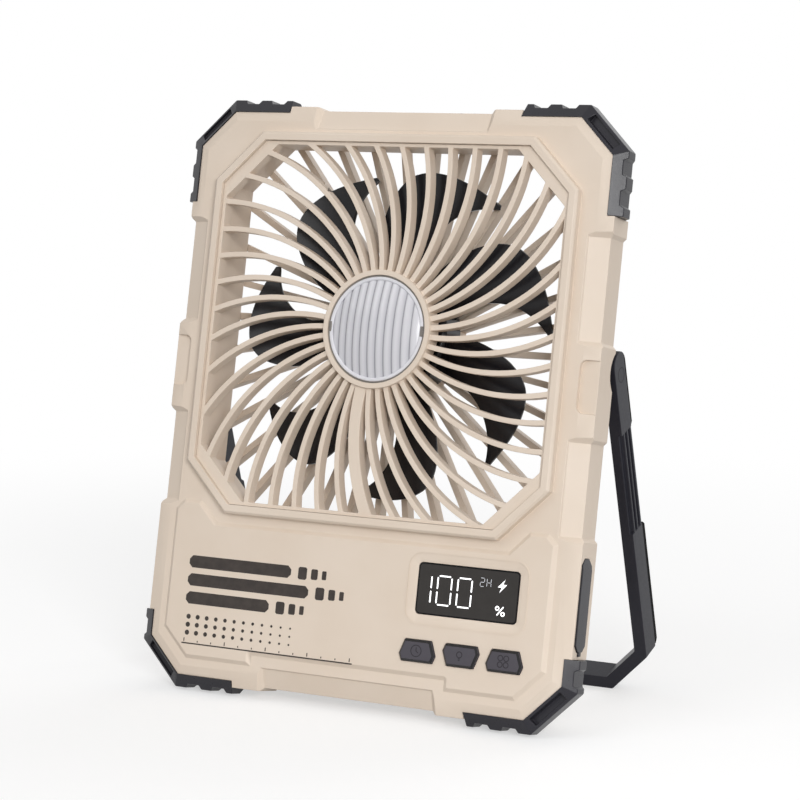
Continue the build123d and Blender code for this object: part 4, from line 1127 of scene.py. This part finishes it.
@dataclass
class PanelPrint:
    """Generic printed decoration on the control panel: broad slats, a field of dots and a ruled foot."""

    left: float = -70.0
    right: float = 3.0
    top: float = 45.0
    ink: float = 0.03
    slat: float = 4.6
    slat_pitch: float = 6.8
    slat_lengths: Place = (44.0, 52.0, 36.0)
    # Marks after a slat, as shares of its width: how long and how wide
    tail: tuple[Point, ...] = ((0.8, 1.0), (0.6, 0.85), (0.4, 0.7))
    tail_from: float = 3.0
    tail_gap: float = 1.8
    dot_columns: int = 12
    dot_rows: int = 3
    dot_first: Point = (2.0, 23.0)
    dot_pitch: Point = (4.0, 3.0)
    dot_radius: float = 0.95
    dot_fade: float = 0.05
    dot_sides: int = 16
    rule_drop: float = 33.0
    rule_width: float = 0.5
    ticks: int = 13
    tick_first: float = 1.0
    tick_pitch: float = 5.9
    tick_width: float = 0.4
    tick_low: float = 0.6
    tick_short: float = 1.3
    tick_long: float = 2.0
    long_every: int = 3

    def build(self) -> None:
        """Draw the decoration in dark ink."""
        marks = Drawing(FACE.at(0.0, 0.0, PANEL_TOP_MM))
        # Broad slats that break up towards the right, like air slowing down
        for row, length in enumerate(self.slat_lengths):
            y = self.top - row * self.slat_pitch - self.slat / 2
            marks.bar((self.left, y), (self.left + length, y), self.slat)
            x = self.left + length + self.tail_from
            for long, wide in self.tail:
                marks.bar((x, y), (x + self.slat * long, y), self.slat * wide)
                x += self.slat * long + self.tail_gap
        # Field of dots that get smaller to the right
        for column in range(self.dot_columns):
            x = self.left + self.dot_first[0] + column * self.dot_pitch[0]
            for row in range(self.dot_rows):
                y = self.top - self.dot_first[1] - row * self.dot_pitch[1]
                marks.disc((x, y), self.dot_radius - self.dot_fade * column, self.dot_sides)
        # Ruled foot with short and long ticks
        foot = self.top - self.rule_drop
        marks.bar((self.left, foot), (self.right, foot), self.rule_width)
        for tick in range(self.ticks):
            x = self.left + self.tick_first + tick * self.tick_pitch
            high = self.tick_short if tick % self.long_every else self.tick_long
            marks.bar((x, foot + self.tick_low), (x, foot + high), self.tick_width)
        marks.finish("panel_print", Finish.INK, "body", "dark_plastic", self.ink)


@dataclass
class Stand:
    """Folding bow with rails of painted shade behind its outer faces and a witness ring over each pivot."""

    ring_radius: float = 2.8
    ring_width: float = 0.3
    ring_proud: float = 0.03
    arm_depth: float = 10.7
    arm_top: float = 8.6
    arm_round: float = 5.2
    arm_low: float = -112.6
    # The grooved part of the arms, which has no rail
    grooves: Point = (-61.5, -22.0)
    rail_upper: float = 0.15
    rail_lower: float = 1.3
    rail_slope: float = 1.4
    rail_sink: float = 0.3
    rail_thick: float = 2.4
    round_steps: int = 8

    def build(self) -> None:
        """Show the bow with rounded edges, and add the rails and rings."""
        Moulding("stand", Finish.NYLON, "dark_plastic", Rounding.SMALL).build()
        pivot = Vector(joint("stand_fold")["pos_m"])
        low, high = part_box("stand")
        place = self.arm_frame(pivot)
        upper, lower = (self.grooves[1], self.arm_top), (self.arm_low, self.grooves[0])
        for name, side in SIDES:
            outer = (high[0] / MM - self.rail_sink) * side
            self.add_rail(f"stand_rail_upper_{name}", outer, upper, self.rail_upper, self.arm_round, place)
            self.add_rail(f"stand_rail_lower_{name}", outer, lower, self.rail_lower, self.rail_slope, place)
        for (name, side), outer in zip(SIDES, (low[0], high[0])):
            # Drawn with y up and z out of its side
            turn = Matrix(((0, side, 0), (0, 0, 1), (side, 0, 0))).transposed().to_4x4()
            ring = Drawing(Matrix.Translation((outer, pivot.y, pivot.z)) @ turn @ TO_METRES)
            ring.ring((0.0, 0.0), self.ring_radius, self.ring_width)
            ring.finish(f"pivot_ring_{name}", Finish.ENGRAVING, "stand", "dark_plastic", self.ring_proud)

    def arm_frame(self, pivot: Vector) -> Matrix:
        """Frame of the bow at rest, found from the longest straight edge of its arms.

        Args:
            pivot: Point on the fold's axis, in metres.

        Returns:
            Matrix from millimetres along the bow to the frame, with x to the right and y up the arms.
        """
        shape = merged_copy("stand")
        runs = [edge.verts[1].co - edge.verts[0].co for edge in shape.edges]
        up = max((run for run in runs if abs(run.x) < MERGE_MM * MM), key=lambda run: run.length).normalized()
        shape.free()
        up = up if up.z > 0 else -up
        turn = Matrix(((1.0, 0.0, 0.0), up, (0.0, -up.z, up.y))).transposed().to_4x4()
        return Matrix.Translation((0.0, pivot.y, pivot.z)) @ turn @ TO_METRES

    def add_rail(
        self, name: str, outer: float, span: Point, behind: float, corner: float, place: Matrix
    ) -> None:
        """Add a plate set back from an arm's outer face, whose edge shows as a rail of painted shade behind
        it.

        Args:
            name: Name of the piece.
            outer: Where the plate's outer side is, across the bow.
            span: Its low and high end along the arm.
            behind: How far it stands out behind the arm.
            corner: Size of its upper rear corner, which is round where it follows the arm's end.
            place: Matrix from the bow to the frame.
        """
        deep = self.arm_depth / 2 + behind
        shape = bmesh.new()
        rear = [vert for vert in rectangle(shape, (deep, span[1] - span[0])) if vert.co.x < 0]
        for vert in rear:
            size = corner if vert.co.y > 0 else self.rail_slope
            steps = self.round_steps if size > self.rail_slope else 1
            round_off(shape, [vert], size, steps, "VERTICES")
        thicken(shape, shape.faces[:], self.rail_thick)
        # Drawn with its depth along x and its thickness along z, so it is turned to stand along the arm
        inward = -1 if outer > 0 else 1
        turn = Matrix(((0.0, 0.0, inward), (0.0, 1.0, 0.0), (1.0, 0.0, 0.0))).to_4x4()
        middle = Matrix.Translation((outer, (span[0] + span[1]) / 2, -deep / 2))
        bmesh.ops.transform(shape, matrix=place @ middle @ turn, verts=shape.verts[:])
        bmesh.ops.recalc_face_normals(shape, faces=shape.faces[:])
        show(shape, name, Finish.RAIL, "stand", "dark_plastic")


@dataclass
class PortFlap(Moulding):
    """Soft flap over the sockets: it stands a little proud of the side, apart from its hinged end."""

    node: str = "port_cover"
    finish: Finish = Finish.RUBBER
    slot: str = "dark_rubber"
    rounding: Rounding = Rounding.FINE
    crease_deg: float = 5.0
    proud: float = 0.55
    ramp: float = 4.0

    def shape(self) -> Shape:
        """Lift the outer face along a ramp that starts at the hinged end.

        Returns:
            The flap before its edges are rounded, in metres.
        """
        shape = merged_copy(self.node)
        top, ramp = max(vert.co.dot(FACE.up) for vert in shape.verts), self.ramp * MM
        everything = shape.verts[:] + shape.edges[:] + shape.faces[:]
        bmesh.ops.bisect_plane(shape, geom=everything, plane_co=FACE.up * (top - ramp), plane_no=FACE.up)
        outer = {vert for face in shape.faces if face.normal.x > FACING for vert in face.verts}
        for vert in outer:
            vert.co.x += self.proud * MM * min(1.0, (top - vert.co.dot(FACE.up)) / ramp)
        shape.normal_update()
        return shape


class Inside:
    """Pieces that stay as the CAD shows them, mostly hidden."""

    NODES = {
        Finish.BOARD: ("lamp_board", "control_board", "port_board"),
        Finish.LED: ("lamp_leds",),
        Finish.COMPONENT: ("display_module", "button_switches", "battery_tray", "motor_base"),
        Finish.STEEL: (
            "usb_c_socket",
            "usb_a_socket",
            "cell_contacts",
            "motor_shaft",
            "motor_bearings",
            "motor_stator",
            "pivot_pin_left",
            "pivot_pin_right",
            "friction_washers",
            "casing_screws",
        ),
        Finish.CELL: ("battery_cells",),
        Finish.MAGNET: ("rotor_magnet",),
        Finish.COPPER: ("motor_coils",),
    }

    def build(self) -> None:
        """Dress each CAD node that nothing replaces."""
        for finish, nodes in self.NODES.items():
            for node in nodes:
                mesh = frame["nodes"][node].data
                mesh.materials.clear()
                mesh.materials.append(finish.material())
                LOG.info("%s dressed as %s", node, finish.value.name)


@dataclass(frozen=True)
class Lamp:
    """A square soft lamp: its centre and side in metres, and its power in watts."""

    name: str
    place: Place
    size: float
    power: float


@dataclass
class Studio:
    """Pale floor, soft light and the camera."""

    floor_radius: float = 4.0
    floor_sides: int = 96
    paper: str = "#C4C4C4"
    glow: float = 0.5
    fade: Point = (0.25, 0.6)
    sky: float = 0.5
    lamps: tuple[Lamp, ...] = (
        Lamp("key_lamp", (0.95, -1.15, 0.55), 0.55, 13.0),
        Lamp("fill_lamp", (-0.7, -1.3, 1.6), 1.2, 6.0),
        Lamp("back_lamp", (0.4, 1.3, 1.3), 1.2, 7.0),
    )
    azimuth_deg: float = 27.53
    elevation_deg: float = 8.13
    distance: float = 0.9194
    aim: Place = (0.0114, -0.0220, 0.1136)
    lens: float = 113.8
    sensor: float = 36.0

    def build(self) -> None:
        """Set the floor, the world, the lamps and the camera."""
        self.add_floor()
        self.light_world()
        for lamp in self.lamps:
            self.add_lamp(lamp)
        self.add_camera()
        bpy.context.scene.view_settings.view_transform = "Standard"

    def add_floor(self) -> None:
        """Add a round paper floor that keeps the fan's shadow and fades to white away from it."""
        shape = bmesh.new()
        bmesh.ops.create_circle(shape, cap_ends=True, segments=self.floor_sides, radius=self.floor_radius)
        mesh = bpy.data.meshes.new("floor")
        shape.to_mesh(mesh)
        shape.free()
        material, tree = new_material("floor_white_paper")
        place = add_node(tree, "TexCoord").outputs["Object"]
        away = add_node(tree, "VectorMath", links={"Vector": place}, operation="LENGTH").outputs["Value"]
        limits = {"From Min": self.fade[0], "From Max": self.fade[1]}
        fade = add_node(tree, "MapRange", limits, {"Value": away}, interpolation_type="SMOOTHSTEP")
        eye, white = seen(tree), {"Color": linear(WHITE)}
        glow = add_node(tree, "Math", {1: self.glow}, {0: eye}, operation="MULTIPLY").outputs["Value"]
        paper = add_node(tree, "BsdfDiffuse", {"Color": linear(self.paper)}).outputs["BSDF"]
        near = add_node(tree, "Emission", white, {"Strength": glow}).outputs["Emission"]
        lit = add_node(tree, "AddShader", links={0: paper, 1: near}).outputs["Shader"]
        far = add_node(tree, "Emission", white, {"Strength": eye}).outputs["Emission"]
        mixed = add_node(tree, "MixShader", links={0: fade.outputs["Result"], 1: lit, 2: far})
        add_node(tree, "OutputMaterial", links={"Surface": mixed.outputs["Shader"]})
        mesh.materials.append(material)
        add_object("floor", mesh)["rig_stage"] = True

    def light_world(self) -> None:
        """Light the world evenly, and show it white to the eye, to gloss and through glass."""
        world = bpy.data.worlds.new("studio")
        bpy.context.scene.world = world
        world.use_nodes = True
        tree = world.node_tree
        tree.nodes.clear()
        limits = {"To Min": self.sky, "To Max": 1.0}
        level = add_node(tree, "MapRange", limits, {"Value": seen(tree)}).outputs["Result"]
        sky = add_node(tree, "Background", {"Color": linear(WHITE)}, {"Strength": level})
        add_node(tree, "OutputWorld", links={"Surface": sky.outputs["Background"]})

    def add_lamp(self, lamp: Lamp) -> None:
        """Add a lamp that faces the fan.

        Args:
            lamp: What the lamp is and where.
        """
        data = bpy.data.lights.new(lamp.name, "AREA")
        data.size, data.energy = lamp.size, lamp.power
        made = add_object(lamp.name, data)
        made.location = lamp.place
        made.rotation_euler = (Vector(self.aim) - Vector(lamp.place)).to_track_quat("-Z", "Y").to_euler()

    def add_camera(self) -> None:
        """Put the camera where the photograph was taken from."""
        a, e = math.radians(self.azimuth_deg), math.radians(self.elevation_deg)
        back = Vector((math.sin(a) * math.cos(e), -math.cos(a) * math.cos(e), math.sin(e)))
        data = bpy.data.cameras.new("camera")
        data.lens, data.sensor_width = self.lens, self.sensor
        camera = add_object("camera", data)
        camera.location = Vector(self.aim) + back * self.distance
        camera.rotation_euler = back.to_track_quat("Z", "Y").to_euler()
        bpy.context.scene.camera = camera


def corners(box: Any) -> list[list[float]]:
    """A box as plain lists of numbers."""
    return [list(map(float, corner)) for corner in box]


def main() -> None:
    """Build every sub-assembly in order, then work out the two boxes."""
    logging.basicConfig(level=logging.INFO, format="%(name)s: %(message)s")
    front = (Casing(), FanDrive(), LampLens(), Display(), Buttons(), PanelPrint())
    for part in (*front, Stand(), PortFlap(), Inside(), Studio()):
        LOG.info("building %s", type(part).__name__)
        part.build()
    {"cad": corners(CAD_BOX), "visual": corners(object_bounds())}


if __name__ == "__main__":
    main()
